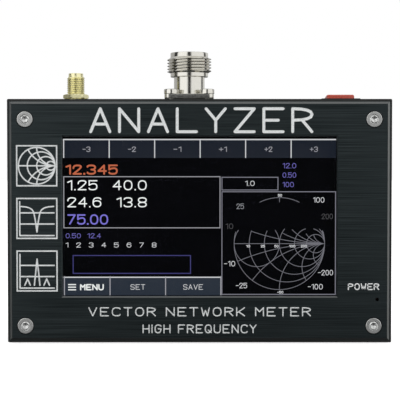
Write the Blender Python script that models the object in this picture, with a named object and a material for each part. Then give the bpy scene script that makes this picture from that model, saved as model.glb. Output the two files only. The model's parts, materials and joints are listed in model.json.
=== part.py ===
"""A pocket vector network analyzer, modelled piece by piece in metres.

The origin is under the middle of the case. +X runs to the right, +Y to the back and +Z up, so that the
screen faces -Y and the jacks stand on the top edge.
"""

from math import cos, pi, radians, sin, sqrt

import bmesh
import bpy
from mathutils import Vector
from mathutils.geometry import interpolate_bezier

MM = 0.001

# Driving dimensions, in millimetres. The case
WIDTH = 135.0
HEIGHT = 85.6
DEPTH = 28.0
GAP = 0.3  # between neighbouring pieces
WALL = 2.5
PANEL = 2.0  # thickness of the front and back panels
RIM = 0.8  # how far a panel stands in from the case wall, and the width of its chamfer
POST = 7.4  # side of the square posts in the corners
CASE_SCREWS = [(x, z) for z in (6.1, 78.4) for x in (-61.0, 61.0)]
SHANK_R = 1.45
HEAD_R = 2.75
HEAD_DEPTH = 1.55  # of the countersunk head, with its flat rim
HEAD_FLAT = 0.25

# Screen
SCREEN_Z = 44.0
WINDOW = (96.0, 56.8)
WINDOW_EDGE = 0.35  # chamfer round the window
GLASS = (105.5, 67.2)
LIGHT = (62.2, 15.4)  # charge light, x and z
LIGHT_BORE_R = 0.6

# Top edge: x of each thing that stands on it
N_X = -3.7
SMA_X = -44.5
SWITCH_X = 50.1

# N jack: 5/8 inch thread, 24 turns to the inch. Heights are from the case's top
FLANGE = 17.5
FLANGE_Z = (0.3, 2.06)
FLANGE_R = 2.0
FLANGE_SCREWS = [(N_X + x, y) for x in (-6.35, 6.35) for y in (-6.35, 6.35)]
FLANGE_SHANK_R = 1.2
FLANGE_HEAD = (2.6, 1.44)  # radius and height of the screw heads
N_REAR_R = 5.0
N_REAR_Z = -6.0
N_NECK_R = 5.5
N_COLLAR_R = 6.75
N_COLLAR_Z = (8.38, 9.77)
N_THREAD_R = 15.875 / 2
N_THREAD_END = 15.1
N_PITCH = 25.4 / 24
N_BORE_R = 4.05
N_TIP = 17.05
N_SEAT = N_TIP - 9.0  # where the insulator starts, down in the bore
N_CONTACT_R = 1.52

# SMA jack: 1/4 inch thread, 36 turns to the inch. Heights are from the case's top
SMA_THREAD_R = 6.35 / 2
SMA_PITCH = 25.4 / 36
SMA_TIP_R = 2.6
SMA_BORE_R = 2.1
SMA_TIP = 9.7
SMA_SEAT = SMA_TIP - 1.9
SMA_REAR = -5.5
SMA_TAIL = -8.0
WASHER_Z = (0.15, 0.45)
NUT_Z = (0.6, 2.2)
NUT_FLATS = 8.0
NUT_TURN = radians(40)

# Power switch. Heights are from the case's top
HOUSING = (12.6, 14.6)  # across and from front to back
HOUSING_LOW = -7.4
BEZEL = (13.6, 16.0)
BEZEL_Z = (0.1, 0.4)
CAVITY_FLOOR = -5.0
ROCKER = (9.8, 12.0)  # width, and length from front to back
ROCKER_PEAK = 2.45  # height of its top above the pin, in the middle
ROCKER_SHOULDER = 2.15  # and at its ends
ROCKER_CORNER_R = 0.6
ROCKER_TILT = radians(6.5)
PIN_Z = -0.9  # the rocker's axis
PIN_R = 0.6

# Memory card and USB sockets
CARD = (15.0, 11.0, 1.0)  # length, height and thickness
CARD_Z = (49.5, 60.5)
CARD_INSET = 0.6  # how far its outer end stands in from the wall's face
SOCKET = (6.7, 2.8)  # depth and height of the USB sockets
SOCKET_Z = (18.3, 25.9)

# Places worked out from the above
TOP = HEIGHT
FRONT = -DEPTH / 2
BACK = DEPTH / 2
PANEL_BACK = FRONT + PANEL
FRAME_FRONT = PANEL_BACK + GAP
FRAME_BACK = BACK - PANEL - GAP
INNER_X = WIDTH / 2 - WALL
INNER_Z = (WALL, HEIGHT - WALL)

# Layers behind the window, from front to back
GASKET_Y = (FRAME_FRONT, FRAME_FRONT + 0.4)
TOUCH_Y = (GASKET_Y[1] + GAP, GASKET_Y[1] + GAP + 1.1)
LCD_Y = (TOUCH_Y[1] + GAP, TOUCH_Y[1] + GAP + 3.0)
BOARD_Y = (LCD_Y[1] + 2.0, LCD_Y[1] + 3.6)
CHIP_Y = BOARD_Y[1] + GAP  # where parts on the main board's back start
CARD_Y = (CHIP_Y + 0.7, CHIP_Y + 0.7 + CARD[2])
DATA_SOCKET_Y = (CHIP_Y, CHIP_Y + SOCKET[1])
RADIO_Y = (0.9, 2.1)
CHARGER_Y = (-8.0, -6.8)
CHARGE_SOCKET_Y = (CHARGER_Y[1] + GAP, CHARGER_Y[1] + GAP + SOCKET[1])

# Boards, in x and z
MAIN_X, MAIN_Z = (-64.5, 57.9), (10.2, 75.4)
RADIO_X, RADIO_Z = (-34.0, 24.0), (46.0, 74.3)
BOARD_HOLES = [(x, z) for x in (-58.5, 55.4) for z in (14.0, 71.8)]
BOARD_SCREW_R = 0.95

ROUND, SMALL_ROUND, TINY_ROUND = 24, 18, 12  # segments of turned pieces


def clear_scene():
    for thing in list(bpy.data.objects):
        bpy.data.objects.remove(thing)


def material(name, colour, roughness, metallic=0.0):
    """A Principled material, made once for each name."""
    found = bpy.data.materials.get(name)
    if found:
        return found
    made = bpy.data.materials.new(name)
    made.use_nodes = True
    shader = made.node_tree.nodes["Principled BSDF"]
    shader.inputs["Base Color"].default_value = (*colour, 1)
    shader.inputs["Roughness"].default_value = roughness
    shader.inputs["Metallic"].default_value = metallic
    made.diffuse_color = (*colour, 1)
    return made


def anodised():
    return material("anodised_aluminium", (0.02, 0.025, 0.027), 0.4, 1.0)


def steel():
    return material("steel", (0.75, 0.76, 0.77), 0.25, 1.0)


def nickel():
    return material("nickel", (0.72, 0.70, 0.65), 0.15, 1.0)


def gold():
    return material("gold", (0.86, 0.76, 0.45), 0.2, 1.0)


def ptfe():
    return material("ptfe", (0.88, 0.88, 0.86), 0.5)


def black_plastic():
    return material("black_plastic", (0.02, 0.02, 0.022), 0.5)


def circuit_board():
    return material("circuit_board", (0.01, 0.09, 0.04), 0.45)


def add(name, bm, look, at=(0, 0, 0)):
    """Turn a mesh drawn in millimetres into a named object standing at a place."""
    bmesh.ops.recalc_face_normals(bm, faces=bm.faces)
    for vert in bm.verts:
        vert.co *= MM
    mesh = bpy.data.meshes.new(name)
    bm.to_mesh(mesh)
    bm.free()
    mesh.materials.append(look)
    mesh.shade_smooth()
    mesh.set_sharp_from_angle(angle=radians(35))
    thing = bpy.data.objects.new(name, mesh)
    thing.location = Vector(at) * MM
    bpy.context.scene.collection.objects.link(thing)
    return thing


def copy_of(source, name, at, turn=0.0):
    """Another object that shares a mesh; turn is about X."""
    thing = bpy.data.objects.new(name, source.data)
    thing.location = Vector(at) * MM
    thing.rotation_euler.x = turn
    bpy.context.scene.collection.objects.link(thing)
    return thing


def loft(name, rings, look, at=(0, 0, 0), closed=False):
    """Join rings of points; a closed loft runs round a hollow, an open one has a face at each end."""
    bm = bmesh.new()
    loops = [[bm.verts.new(point) for point in ring] for ring in rings]
    count = len(loops[0])
    pairs = list(zip(loops, loops[1:]))
    if closed:
        pairs.append((loops[-1], loops[0]))
    else:
        bm.faces.new(loops[0])
        bm.faces.new(loops[-1])
    for low, high in pairs:
        for i in range(count):
            j = (i + 1) % count
            bm.faces.new((low[i], low[j], high[j], high[i]))
    return add(name, bm, look, at)


def block(name, low, high, look):
    """A box between two corners, with its origin in its middle."""
    size = [high[i] - low[i] for i in range(3)]
    middle = [(high[i] + low[i]) / 2 for i in range(3)]
    bm = bmesh.new()
    bmesh.ops.create_cube(bm, size=1)
    for vert in bm.verts:
        vert.co = Vector(vert.co[i] * size[i] for i in range(3))
    return add(name, bm, look, middle)


def soft_block(name, low, high, look, radius, along="XYZ", steps=2):
    """A box whose edges along the given axes are rounded."""
    size = [high[i] - low[i] for i in range(3)]
    middle = [(high[i] + low[i]) / 2 for i in range(3)]
    bm = bmesh.new()
    bmesh.ops.create_cube(bm, size=1)
    for vert in bm.verts:
        vert.co = Vector(vert.co[i] * size[i] for i in range(3))
    picked = []
    for edge in bm.edges:
        run = edge.verts[0].co - edge.verts[1].co
        axis = max(range(3), key=lambda i: abs(run[i]))
        if "XYZ"[axis] in along:
            picked.append(edge)
    bmesh.ops.bevel(bm, geom=picked, offset=radius, segments=steps, profile=0.5, affect="EDGES")
    return add(name, bm, look, middle)


def hexagon(across_flats):
    """The radius of a hexagon at each angle."""
    return lambda angle, height: across_flats / 2 / cos((angle + pi / 6) % (pi / 3) - pi / 6)


def screw_thread(crest, root, pitch, start, end):
    """The radius of a screw thread at each angle and height, fading out at both ends."""

    def radius(angle, height):
        turn = (height / pitch - angle / (2 * pi)) % 1
        wave = 0.5 - 0.5 * cos(2 * pi * turn)
        fade = min(1, (height - start) / (pitch / 2), (end - height) / (pitch / 2))
        return root + (crest - root) * wave * max(0, fade)

    return radius


def thread_rings(crest, root, pitch, start, end, per_turn=4):
    """Profile points that climb a screw thread."""
    radius = screw_thread(crest, root, pitch, start, end)
    count = round((end - start) / pitch * per_turn)
    return [(radius, start + (end - start) * i / count) for i in range(count + 1)]


def turned(name, profile, look, at=(0, 0, 0), segments=ROUND, closed=False, phase=0.0):
    """A piece turned about Z: profile points are (radius, height), and a radius may be a function."""
    rings = []
    for radius, height in profile:
        ring = []
        for i in range(segments):
            angle = 2 * pi * i / segments
            r = radius(angle, height) if callable(radius) else radius
            ring.append((r * cos(angle + phase), r * sin(angle + phase), height))
        rings.append(ring)
    return loft(name, rings, look, at, closed)


def prism(name, outline, low, high, look, at=(0, 0, 0)):
    """An outline in X and Z, drawn out along Y."""
    rings = [[(x, y, z) for x, z in outline] for y in (low, high)]
    return loft(name, rings, look, at)


def hide(thing):
    """Keep a cutter or a guide out of the model."""
    thing.hide_render = True
    thing.display_type = "WIRE"
    return thing


def cut(thing, *cutters):
    for cutter in cutters:
        step = thing.modifiers.new("cut " + cutter.name, "BOOLEAN")
        step.operation = "DIFFERENCE"
        step.solver = "EXACT"
        step.object = hide(cutter)


def join(thing, other):
    step = thing.modifiers.new("join " + other.name, "BOOLEAN")
    step.operation = "UNION"
    step.solver = "EXACT"
    step.object = hide(other)


def hole(name, radius, start, length, axis, segments=SMALL_ROUND):
    """A round cutter that runs from start along an axis."""
    look = black_plastic()
    cutter = turned(name, [(radius, 0), (radius, length)], look, start, segments)
    cutter.rotation_euler = {"Z": (0, 0, 0), "Y": (-pi / 2, 0, 0), "X": (0, pi / 2, 0)}[axis]
    return cutter


def opening(name, low, high):
    return block(name, low, high, black_plastic())


# --- case -----------------------------------------------------------------------------------------


def side_openings():
    """The holes in the side walls: each socket's mouth and the card's slot."""
    reach = 3 * WALL
    cuts = []
    for name, side, (y0, y1), (z0, z1) in (
        ("charge_mouth", 1, CHARGE_SOCKET_Y, SOCKET_Z),
        ("data_mouth", -1, DATA_SOCKET_Y, SOCKET_Z),
        ("card_slot", -1, CARD_Y, CARD_Z),
    ):
        x0, x1 = sorted((side * (INNER_X - 0.2), side * (INNER_X + reach)))
        cuts.append(opening(name, (x0, y0 - GAP, z0 - GAP), (x1, y1 + GAP, z1 + GAP)))
    return cuts


def top_openings():
    """The holes in the top wall: both jacks, the N jack's four screws and the switch."""
    reach = 3 * WALL
    below = TOP - 2 * WALL
    cuts = [hole("n_bore", N_REAR_R + GAP, (N_X, 0, below), reach, "Z", ROUND)]
    cuts.append(hole("sma_bore", SMA_THREAD_R + GAP, (SMA_X, 0, below), reach, "Z", ROUND))
    for i, (x, y) in enumerate(FLANGE_SCREWS):
        cuts.append(hole(f"flange_bore_{i}", FLANGE_SHANK_R + GAP, (x, y, below), reach, "Z"))
    half_x, half_y = HOUSING[0] / 2 + GAP, HOUSING[1] / 2 + GAP
    low = (SWITCH_X - half_x, -half_y, below)
    cuts.append(opening("switch_cutout", low, (SWITCH_X + half_x, half_y, below + reach)))
    return cuts


def case_frame():
    """The wall round the box, with a square post in each corner for the screws."""
    half = WIDTH / 2
    low = (-half, FRAME_FRONT, 0)
    frame = soft_block("case_frame", low, (half, FRAME_BACK, HEIGHT), anodised(), 0.4, "Y")
    reach = 1.0
    room_y = (FRAME_FRONT - reach, FRAME_BACK + reach)
    post_x, post_low, post_high = INNER_X - POST, INNER_Z[0] + POST, INNER_Z[1] - POST
    wide = opening("room_wide", (-INNER_X, room_y[0], post_low), (INNER_X, room_y[1], post_high))
    tall = opening("room_tall", (-post_x, room_y[0], INNER_Z[0]), (post_x, room_y[1], INNER_Z[1]))
    cut(frame, wide, tall)
    for i, (x, z) in enumerate(CASE_SCREWS):
        cut(frame, hole(f"post_bore_{i}", SHANK_R + GAP, (x, room_y[0], z), DEPTH, "Y"))
    cut(frame, *top_openings())
    cut(frame, *side_openings())
    return frame


def panel(name, outer, inner):
    """A cover plate between two Y places, chamfered all round its outer face."""
    x, low, high = WIDTH / 2 - RIM, RIM, HEIGHT - RIM
    step = RIM if outer > inner else -RIM
    rings = []
    for inset, y in ((0, inner), (0, outer - step), (RIM, outer)):
        a, b, c = x - inset, low + inset, high - inset
        rings.append([(-a, y, b), (a, y, b), (a, y, c), (-a, y, c)])
    plate = loft(name, rings, anodised())
    out = 1 if outer > inner else -1
    narrow, wide = SHANK_R + GAP, HEAD_R + GAP
    profile = [(narrow, -1.0), (narrow, PANEL - HEAD_DEPTH)]
    profile += [(wide, PANEL - HEAD_FLAT), (wide, PANEL + 1.0)]
    for i, (sx, sz) in enumerate(CASE_SCREWS):
        sink = turned(f"{name}_sink_{i}", profile, black_plastic(), (sx, inner, sz))
        sink.rotation_euler.x = -out * pi / 2
        cut(plate, sink)
    return plate


def window_cutter():
    """The window, opened out by a small chamfer at the front face."""
    edge = WINDOW_EDGE
    rings = []
    for grow, y in ((0, PANEL_BACK + 1), (0, FRONT + edge), (2 * edge, FRONT - edge)):
        x, z = WINDOW[0] / 2 + grow, WINDOW[1] / 2 + grow
        rings.append([(-x, y, -z), (x, y, -z), (x, y, z), (-x, y, z)])
    return loft("window_cutter", rings, black_plastic(), (0, 0, SCREEN_Z))


def front_panel():
    plate = panel("front_panel", FRONT, PANEL_BACK)
    cut(plate, window_cutter())
    cut(plate, hole("light_bore", LIGHT_BORE_R, (LIGHT[0], FRONT - 1, LIGHT[1]), 2 * PANEL, "Y"))
    return plate


def back_panel():
    return panel("back_panel", BACK, BACK - PANEL)


def case_screws():
    """Eight countersunk screws with hexagon sockets, four on each side."""
    length = 8.0
    socket = hexagon(2.0)
    profile = [(SHANK_R, -length), (SHANK_R, -HEAD_DEPTH), (HEAD_R, -HEAD_FLAT), (HEAD_R - 0.1, 0)]
    profile += [(socket, 0), (socket, -1.1)]
    pattern = turned("front_screw_1", profile, steel(), segments=SMALL_ROUND)
    for side, y, turn in (("front", FRONT, pi / 2), ("back", BACK, -pi / 2)):
        for i, (x, z) in enumerate(CASE_SCREWS, 1):
            name = f"{side}_screw_{i}"
            if name == pattern.name:
                pattern.location = Vector((x, y, z)) * MM
                pattern.rotation_euler.x = turn
            else:
                copy_of(pattern, name, (x, y, z), turn)


# --- N jack ---------------------------------------------------------------------------------------


def flange_plate():
    """A square plate with rounded corners, four screw holes and a middle hole."""
    half = FLANGE / 2
    low, high = FLANGE_Z
    a, b = (N_X - half, -half, TOP + low), (N_X + half, half, TOP + high)
    plate = soft_block("n_flange", a, b, nickel(), FLANGE_R, "Z", 3)
    length = high - low + 2
    for i, (x, y) in enumerate(FLANGE_SCREWS):
        start = (x, y, TOP + low - 1)
        cut(plate, hole(f"n_flange_bore_{i}", FLANGE_SHANK_R + GAP, start, length, "Z"))
    cut(plate, hole("n_flange_middle", N_BORE_R + 0.5, (N_X, 0, TOP + low - 1), length, "Z", ROUND))
    return plate


def n_socket_shell():
    """The jack's outer conductor: rear body, neck, collar, screw thread and tip, round an open bore."""
    step = 0.3
    inner_r = N_BORE_R - 0.45
    outer = [(N_REAR_R, N_REAR_Z), (N_REAR_R, FLANGE_Z[0]), (N_NECK_R, FLANGE_Z[0] + step)]
    outer += [(N_NECK_R, N_COLLAR_Z[0]), (N_COLLAR_R, N_COLLAR_Z[0]), (N_COLLAR_R, N_COLLAR_Z[1])]
    outer += thread_rings(N_THREAD_R, N_COLLAR_R, N_PITCH, N_COLLAR_Z[1] + 0.1, N_THREAD_END)
    outer += [(N_COLLAR_R, N_TIP - step), (N_COLLAR_R - step, N_TIP)]
    inner = [(N_BORE_R + step, N_TIP), (N_BORE_R, N_TIP - step), (N_BORE_R, N_SEAT)]
    inner += [(inner_r, N_SEAT), (inner_r, N_REAR_Z)]
    shell = turned("n_socket_shell", outer + inner, nickel(), (N_X, 0, TOP), closed=True)
    join(shell, flange_plate())


def n_socket_insides():
    """The insulator and the hollow centre contact, whose tail is soldered to the radio board."""
    place = (N_X, 0, TOP)
    out_r, in_r = N_BORE_R - 0.45 - GAP, N_CONTACT_R + GAP
    tube = [(out_r, N_REAR_Z), (out_r, N_SEAT), (in_r, N_SEAT), (in_r, N_REAR_Z)]
    turned("n_socket_insulator", tube, ptfe(), place, closed=True)
    tail_r, tail_z, hollow_r = 0.6, -14.0, 0.83
    tip = N_TIP - 2.5
    pin = [(tail_r, tail_z), (tail_r, N_REAR_Z), (N_CONTACT_R, N_REAR_Z), (N_CONTACT_R, tip - 0.3)]
    pin += [(N_CONTACT_R - 0.3, tip), (hollow_r, tip), (hollow_r, tip - 5)]
    turned("n_socket_contact", pin, gold(), place, segments=SMALL_ROUND)


def n_socket_fixings():
    """The four screws through the flange."""
    head_r, head_h = FLANGE_HEAD
    seat = FLANGE_Z[1] + GAP
    profile = [(FLANGE_SHANK_R, -5.0), (FLANGE_SHANK_R, seat), (head_r, seat)]
    profile += [(head_r, seat + head_h - 0.5), (head_r - 0.6, seat + head_h)]
    profile += [(hexagon(2.0), seat + head_h), (hexagon(2.0), seat + head_h - 1.0)]
    pattern = None
    for i, (x, y) in enumerate(FLANGE_SCREWS, 1):
        place = (x, y, TOP)
        if pattern is None:
            pattern = turned("n_flange_screw_1", profile, steel(), place, SMALL_ROUND)
        else:
            copy_of(pattern, f"n_flange_screw_{i}", place)


# --- SMA jack -------------------------------------------------------------------------------------


def sma_socket_shell():
    """The threaded barrel, held by a shoulder under the top wall."""
    plain_r, shoulder_r = SMA_THREAD_R - 0.2, 4.0
    under = -WALL - GAP
    outer = [(shoulder_r, SMA_REAR), (shoulder_r, under), (plain_r, under), (plain_r, NUT_Z[0])]
    outer += thread_rings(SMA_THREAD_R, SMA_TIP_R, SMA_PITCH, NUT_Z[1] - 0.3, SMA_TIP - 1.1)
    outer += [(SMA_TIP_R, SMA_TIP - 0.2), (SMA_TIP_R - 0.1, SMA_TIP)]
    inner = [(SMA_BORE_R + 0.2, SMA_TIP), (SMA_BORE_R + 0.2, SMA_SEAT)]
    inner += [(SMA_BORE_R, SMA_SEAT), (SMA_BORE_R, SMA_REAR)]
    turned("sma_socket_shell", outer + inner, gold(), (SMA_X, 0, TOP), SMALL_ROUND, closed=True)


def sma_insides():
    """The insulator and the hollow centre contact, both level with the seat in the bore."""
    place = (SMA_X, 0, TOP)
    out_r, pin_r, hollow_r = SMA_BORE_R - GAP, 0.64, 0.42
    tube = [(out_r, SMA_REAR), (out_r, SMA_SEAT), (pin_r + GAP, SMA_SEAT), (pin_r + GAP, SMA_REAR)]
    turned("sma_insulator", tube, ptfe(), place, SMALL_ROUND, closed=True)
    pin = [(pin_r, SMA_TAIL), (pin_r, SMA_SEAT), (hollow_r, SMA_SEAT)]
    pin.append((hollow_r, SMA_SEAT - 2.5))
    turned("sma_contact", pin, gold(), place, TINY_ROUND)


def sma_fixings():
    """The hexagonal nut, its top corners turned off, and the washer under it."""
    place = (SMA_X, 0, TOP)
    bore = SMA_THREAD_R + GAP
    flats = hexagon(NUT_FLATS)
    low, high = NUT_Z
    chamfer_r = NUT_FLATS / 2 + 0.05

    def crown(angle, height):
        """The hexagon where it meets the cone that takes its corners off."""
        return min(flats(angle, height), chamfer_r + (high - height) * 1.7)

    steps = [high - 0.36, high - 0.18, high]
    profile = [(bore, low), (flats, low)]
    profile += [(crown, height) for height in steps]
    profile.append((bore, high))
    turned("sma_hex_nut", profile, gold(), place, 36, closed=True, phase=NUT_TURN)
    low, high = WASHER_Z
    ring = [(bore, low), (4.3, low), (4.3, high), (bore, high)]
    turned("sma_lock_washer", ring, gold(), place, closed=True)


def swept(name, points, radius, look, segments=6, steps=5):
    """A round lead along a smooth path through points."""
    path = []
    spots = [Vector(p) for p in points]
    slopes = [(spots[min(i + 1, len(spots) - 1)] - spots[max(i - 1, 0)]) / 6 for i in range(len(spots))]
    for i in range(len(spots) - 1):
        a, b = spots[i], spots[i + 1]
        run = interpolate_bezier(a, a + slopes[i], b - slopes[i + 1], b, steps + 1)
        path += run[:-1] if i < len(spots) - 2 else run
    across = None
    rings = []
    for i, spot in enumerate(path):
        along = (path[min(i + 1, len(path) - 1)] - path[max(i - 1, 0)]).normalized()
        if across is None:
            across = along.orthogonal().normalized()
        across = (across - across.dot(along) * along).normalized()
        side = along.cross(across)
        angles = [2 * pi * k / segments for k in range(segments)]
        rings.append([spot + radius * (across * cos(t) + side * sin(t)) for t in angles])
    return loft(name, rings, look)


def sma_coax_lead():
    """The short lead from the SMA contact to the left edge of the radio board."""
    start = TOP + SMA_TAIL - GAP
    run = [(SMA_X, 0, start), (SMA_X, 0, start - 3.5), (SMA_X + 3, 0, start - 7)]
    run += [(SMA_X + 7, 0, start - 8.5), (SMA_X + 14, 0, start - 8.5)]
    swept("sma_coax_lead", run, 0.6, material("coax", (0.45, 0.28, 0.12), 0.35, 1.0))


# --- power switch ---------------------------------------------------------------------------------


def switch_housing():
    """The switch's body: a bezel on the case and a box below it, open at the top for the rocker."""
    x, y = HOUSING[0] / 2, HOUSING[1] / 2
    plastic = black_plastic()
    low = (SWITCH_X - x, -y, TOP + HOUSING_LOW)
    body = block("switch_housing", low, (SWITCH_X + x, y, TOP + BEZEL_Z[1] - 0.1), plastic)
    x, y = BEZEL[0] / 2, BEZEL[1] / 2
    low = (SWITCH_X - x, -y, TOP + BEZEL_Z[0])
    bezel = soft_block("switch_bezel", low, (SWITCH_X + x, y, TOP + BEZEL_Z[1]), plastic, 0.4, "Z")
    join(body, bezel)
    x, y = ROCKER[0] / 2 + GAP, ROCKER[1] / 2 + 0.55
    low = (SWITCH_X - x, -y, TOP + CAVITY_FLOOR)
    cut(body, opening("rocker_room", low, (SWITCH_X + x, y, TOP + 2)))
    start = (SWITCH_X - BEZEL[0], 0, TOP + PIN_Z)
    cut(body, hole("housing_pin_bore", PIN_R + GAP, start, 2 * BEZEL[0], "X"))


def rocker_outline():
    """The rocker from the side, about its pin: a low crowned top and a hub below."""
    half = ROCKER[1] / 2
    peak, shoulder, round_r = ROCKER_PEAK, ROCKER_SHOULDER, ROCKER_CORNER_R
    outline = [(-half, -1.6), (-1.6, -3.4), (1.6, -3.4), (half, -1.6)]
    for i in range(5):
        angle = radians(90) * i / 4
        y = half - round_r * (1 - cos(angle))
        outline.append((y, shoulder - round_r * (1 - sin(angle))))
    corner = outline[4:]
    rise = peak - shoulder
    outline += [(y, shoulder + rise * (1 - (y / half) ** 2)) for y in (3.6, 1.8, 0, -1.8, -3.6)]
    return outline + [(-y, z) for y, z in reversed(corner)]


def switch_rocker():
    """The red rocker and the pin it tips on, at rest with its back end down."""
    red = material("red_plastic", (0.55, 0.07, 0.04), 0.35)
    place = (SWITCH_X, 0, TOP + PIN_Z)
    half = ROCKER[0] / 2
    rocker = prism("switch_rocker", rocker_outline(), -half, half, red, place)
    rocker.rotation_euler = (0, ROCKER_TILT, pi / 2)
    start = (SWITCH_X - ROCKER[0], 0, TOP + PIN_Z)
    cut(rocker, hole("rocker_pin_bore", PIN_R + GAP, start, 2 * ROCKER[0], "X"))
    reach = HOUSING[0] / 2 - 0.1
    profile = [(PIN_R, -reach), (PIN_R, reach)]
    pin = turned("switch_rocker_pin", profile, steel(), place, TINY_ROUND)
    pin.rotation_euler.y = pi / 2


def switch_terminals():
    """Two blades under the switch: one below the pin and one below the back end."""
    high = TOP + HOUSING_LOW - GAP
    for i, y in enumerate((0.0, 4.4), 1):
        low = (SWITCH_X - 1.2, y - 0.25, high - 4.5)
        block(f"switch_terminal_{i}", low, (SWITCH_X + 1.2, y + 0.25, high), steel())


# --- display --------------------------------------------------------------------------------------


def around_screen(name, size, layer, look):
    """A flat block centred on the screen."""
    x, z = size[0] / 2, size[1] / 2
    return block(name, (-x, layer[0], SCREEN_Z - z), (x, layer[1], SCREEN_Z + z), look)


def display():
    """The foam frame, the touch glass and the LCD, from front to back."""
    foam = material("foam", (0.03, 0.03, 0.03), 0.9)
    gasket = around_screen("display_gasket", (GLASS[0] - 0.5, GLASS[1] - 0.5), GASKET_Y, foam)
    reach = (GASKET_Y[0] - 1, GASKET_Y[1] + 1)
    cut(gasket, around_screen("gasket_window", (WINDOW[0] + 0.8, WINDOW[1] + 0.8), reach, foam))
    around_screen("touch_panel", GLASS, TOUCH_Y, material("glass", (0.02, 0.02, 0.025), 0.05))
    around_screen("lcd_module", GLASS, LCD_Y, material("lcd", (0.05, 0.06, 0.09), 0.3))


def display_ribbon():
    """A flat ribbon from the LCD's lower edge, folded up behind it to the main board."""
    thin, wide, bend = 0.24, 20.0, 1.35
    edge_y = (LCD_Y[0] + LCD_Y[1]) / 2
    low_z = SCREEN_Z - GLASS[1] / 2
    path = [(edge_y, low_z - GAP)]
    for i in range(9):
        angle = pi * i / 8
        path.append((edge_y + bend - bend * cos(angle), low_z - 1.2 - bend * sin(angle)))
    path.append((edge_y + 2 * bend, low_z + 12))
    left, right = [], []
    for i, (y, z) in enumerate(path):
        y0, z0 = path[max(i - 1, 0)]
        y1, z1 = path[min(i + 1, len(path) - 1)]
        length = sqrt((y1 - y0) ** 2 + (z1 - z0) ** 2)
        out_y, out_z = (z1 - z0) / length * thin / 2, -(y1 - y0) / length * thin / 2
        left.append((y + out_y, z + out_z))
        right.append((y - out_y, z - out_z))
    outline = left + right[::-1]
    rings = [[(x, y, z) for y, z in outline] for x in (-wide / 2, wide / 2)]
    loft("display_ribbon", rings, material("ribbon", (0.45, 0.25, 0.05), 0.4))


# --- boards and what stands on them ---------------------------------------------------------------


def chip(name, centre, size, colour=(0.015, 0.015, 0.017)):
    """A part on the main board's back."""
    x, z = centre
    wide, tall, thick = size
    low = (x - wide / 2, CHIP_Y, z - tall / 2)
    look = material(name, colour, 0.4)
    block(name, low, (x + wide / 2, CHIP_Y + thick, z + tall / 2), look)


def main_board():
    low = (MAIN_X[0], BOARD_Y[0], MAIN_Z[0])
    board = block("main_board", low, (MAIN_X[1], BOARD_Y[1], MAIN_Z[1]), circuit_board())
    for i, (x, z) in enumerate(BOARD_HOLES):
        start = (x, BOARD_Y[0] - 1, z)
        cut(board, hole(f"board_bore_{i}", BOARD_SCREW_R + GAP, start, 4, "Y", TINY_ROUND))
    chip("processor_chip", (-13.0, 35.0), (14.0, 14.0, 1.4))
    chip("memory_chip", (11.0, 33.0), (10.0, 6.0, 1.0))
    chip("clock_crystal", (0.0, 24.0), (5.0, 3.2, 1.2), (0.6, 0.6, 0.6))
    low = (-12.0, CHIP_Y, 50.0)
    block("board_header", low, (12.0, RADIO_Y[0] - GAP, 52.5), black_plastic())


def board_fixings():
    """Hexagonal stand-offs between the front panel and the main board, and their screws."""
    start, end = FRAME_FRONT, BOARD_Y[0] - GAP
    length = end - start
    flats, bore = hexagon(4.5), BOARD_SCREW_R + GAP
    post = [(flats, 0), (flats, length), (bore, length), (bore, length - 5)]
    head = BOARD_Y[1] + GAP - end
    screw = [(BOARD_SCREW_R, -4), (BOARD_SCREW_R, head)]
    screw += [(1.8, head), (1.8, head + 0.9), (1.3, head + 1.3)]
    brass = material("brass", (0.7, 0.5, 0.2), 0.3, 1.0)
    first_post = first_screw = None
    for i, (x, z) in enumerate(BOARD_HOLES, 1):
        if first_post is None:
            first_post = turned("board_standoff_1", post, brass, (x, start, z), TINY_ROUND)
            first_screw = turned("board_screw_1", screw, steel(), (x, end, z), TINY_ROUND)
            first_post.rotation_euler.x = -pi / 2
            first_screw.rotation_euler.x = -pi / 2
        else:
            copy_of(first_post, f"board_standoff_{i}", (x, start, z), -pi / 2)
            copy_of(first_screw, f"board_screw_{i}", (x, end, z), -pi / 2)


def usb_socket(name, side, layer):
    """A metal socket, open towards the side wall."""
    mouth = side * (WIDTH / 2 - 0.6)
    x0, x1 = sorted((mouth, mouth - side * SOCKET[0]))
    shell = block(name, (x0, layer[0], SOCKET_Z[0]), (x1, layer[1], SOCKET_Z[1]), steel())
    wall = 0.35
    a, b = sorted((mouth + side, mouth - side * (SOCKET[0] - 1)))
    low = (a, layer[0] + wall, SOCKET_Z[0] + wall)
    cut(shell, opening(name + "_mouth", low, (b, layer[1] - wall, SOCKET_Z[1] - wall)))


def memory_card():
    """The card, which slides out to the left, and the socket that holds it."""
    low_x = CARD_INSET - WIDTH / 2
    look = material("card", (0.03, 0.03, 0.035), 0.4)
    block("memory_card", (low_x, CARD_Y[0], CARD_Z[0]), (low_x + CARD[0], CARD_Y[1], CARD_Z[1]), look)
    wall = 0.3
    room_y = (CARD_Y[0] - 0.4, CARD_Y[1] + 0.4)
    room_z = (CARD_Z[0] - GAP, CARD_Z[1] + GAP)
    mouth, end = -INNER_X + GAP + 0.4, low_x + CARD[0] + 1.4
    shell = block(
        "card_socket",
        (mouth, room_y[0] - wall, room_z[0] - 2 * wall),
        (end, room_y[1] + wall, room_z[1] + 2 * wall),
        steel(),
    )
    low = (mouth - 1, room_y[0], room_z[0])
    cut(shell, opening("card_room", low, (end - 0.8, room_y[1], room_z[1])))


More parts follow.
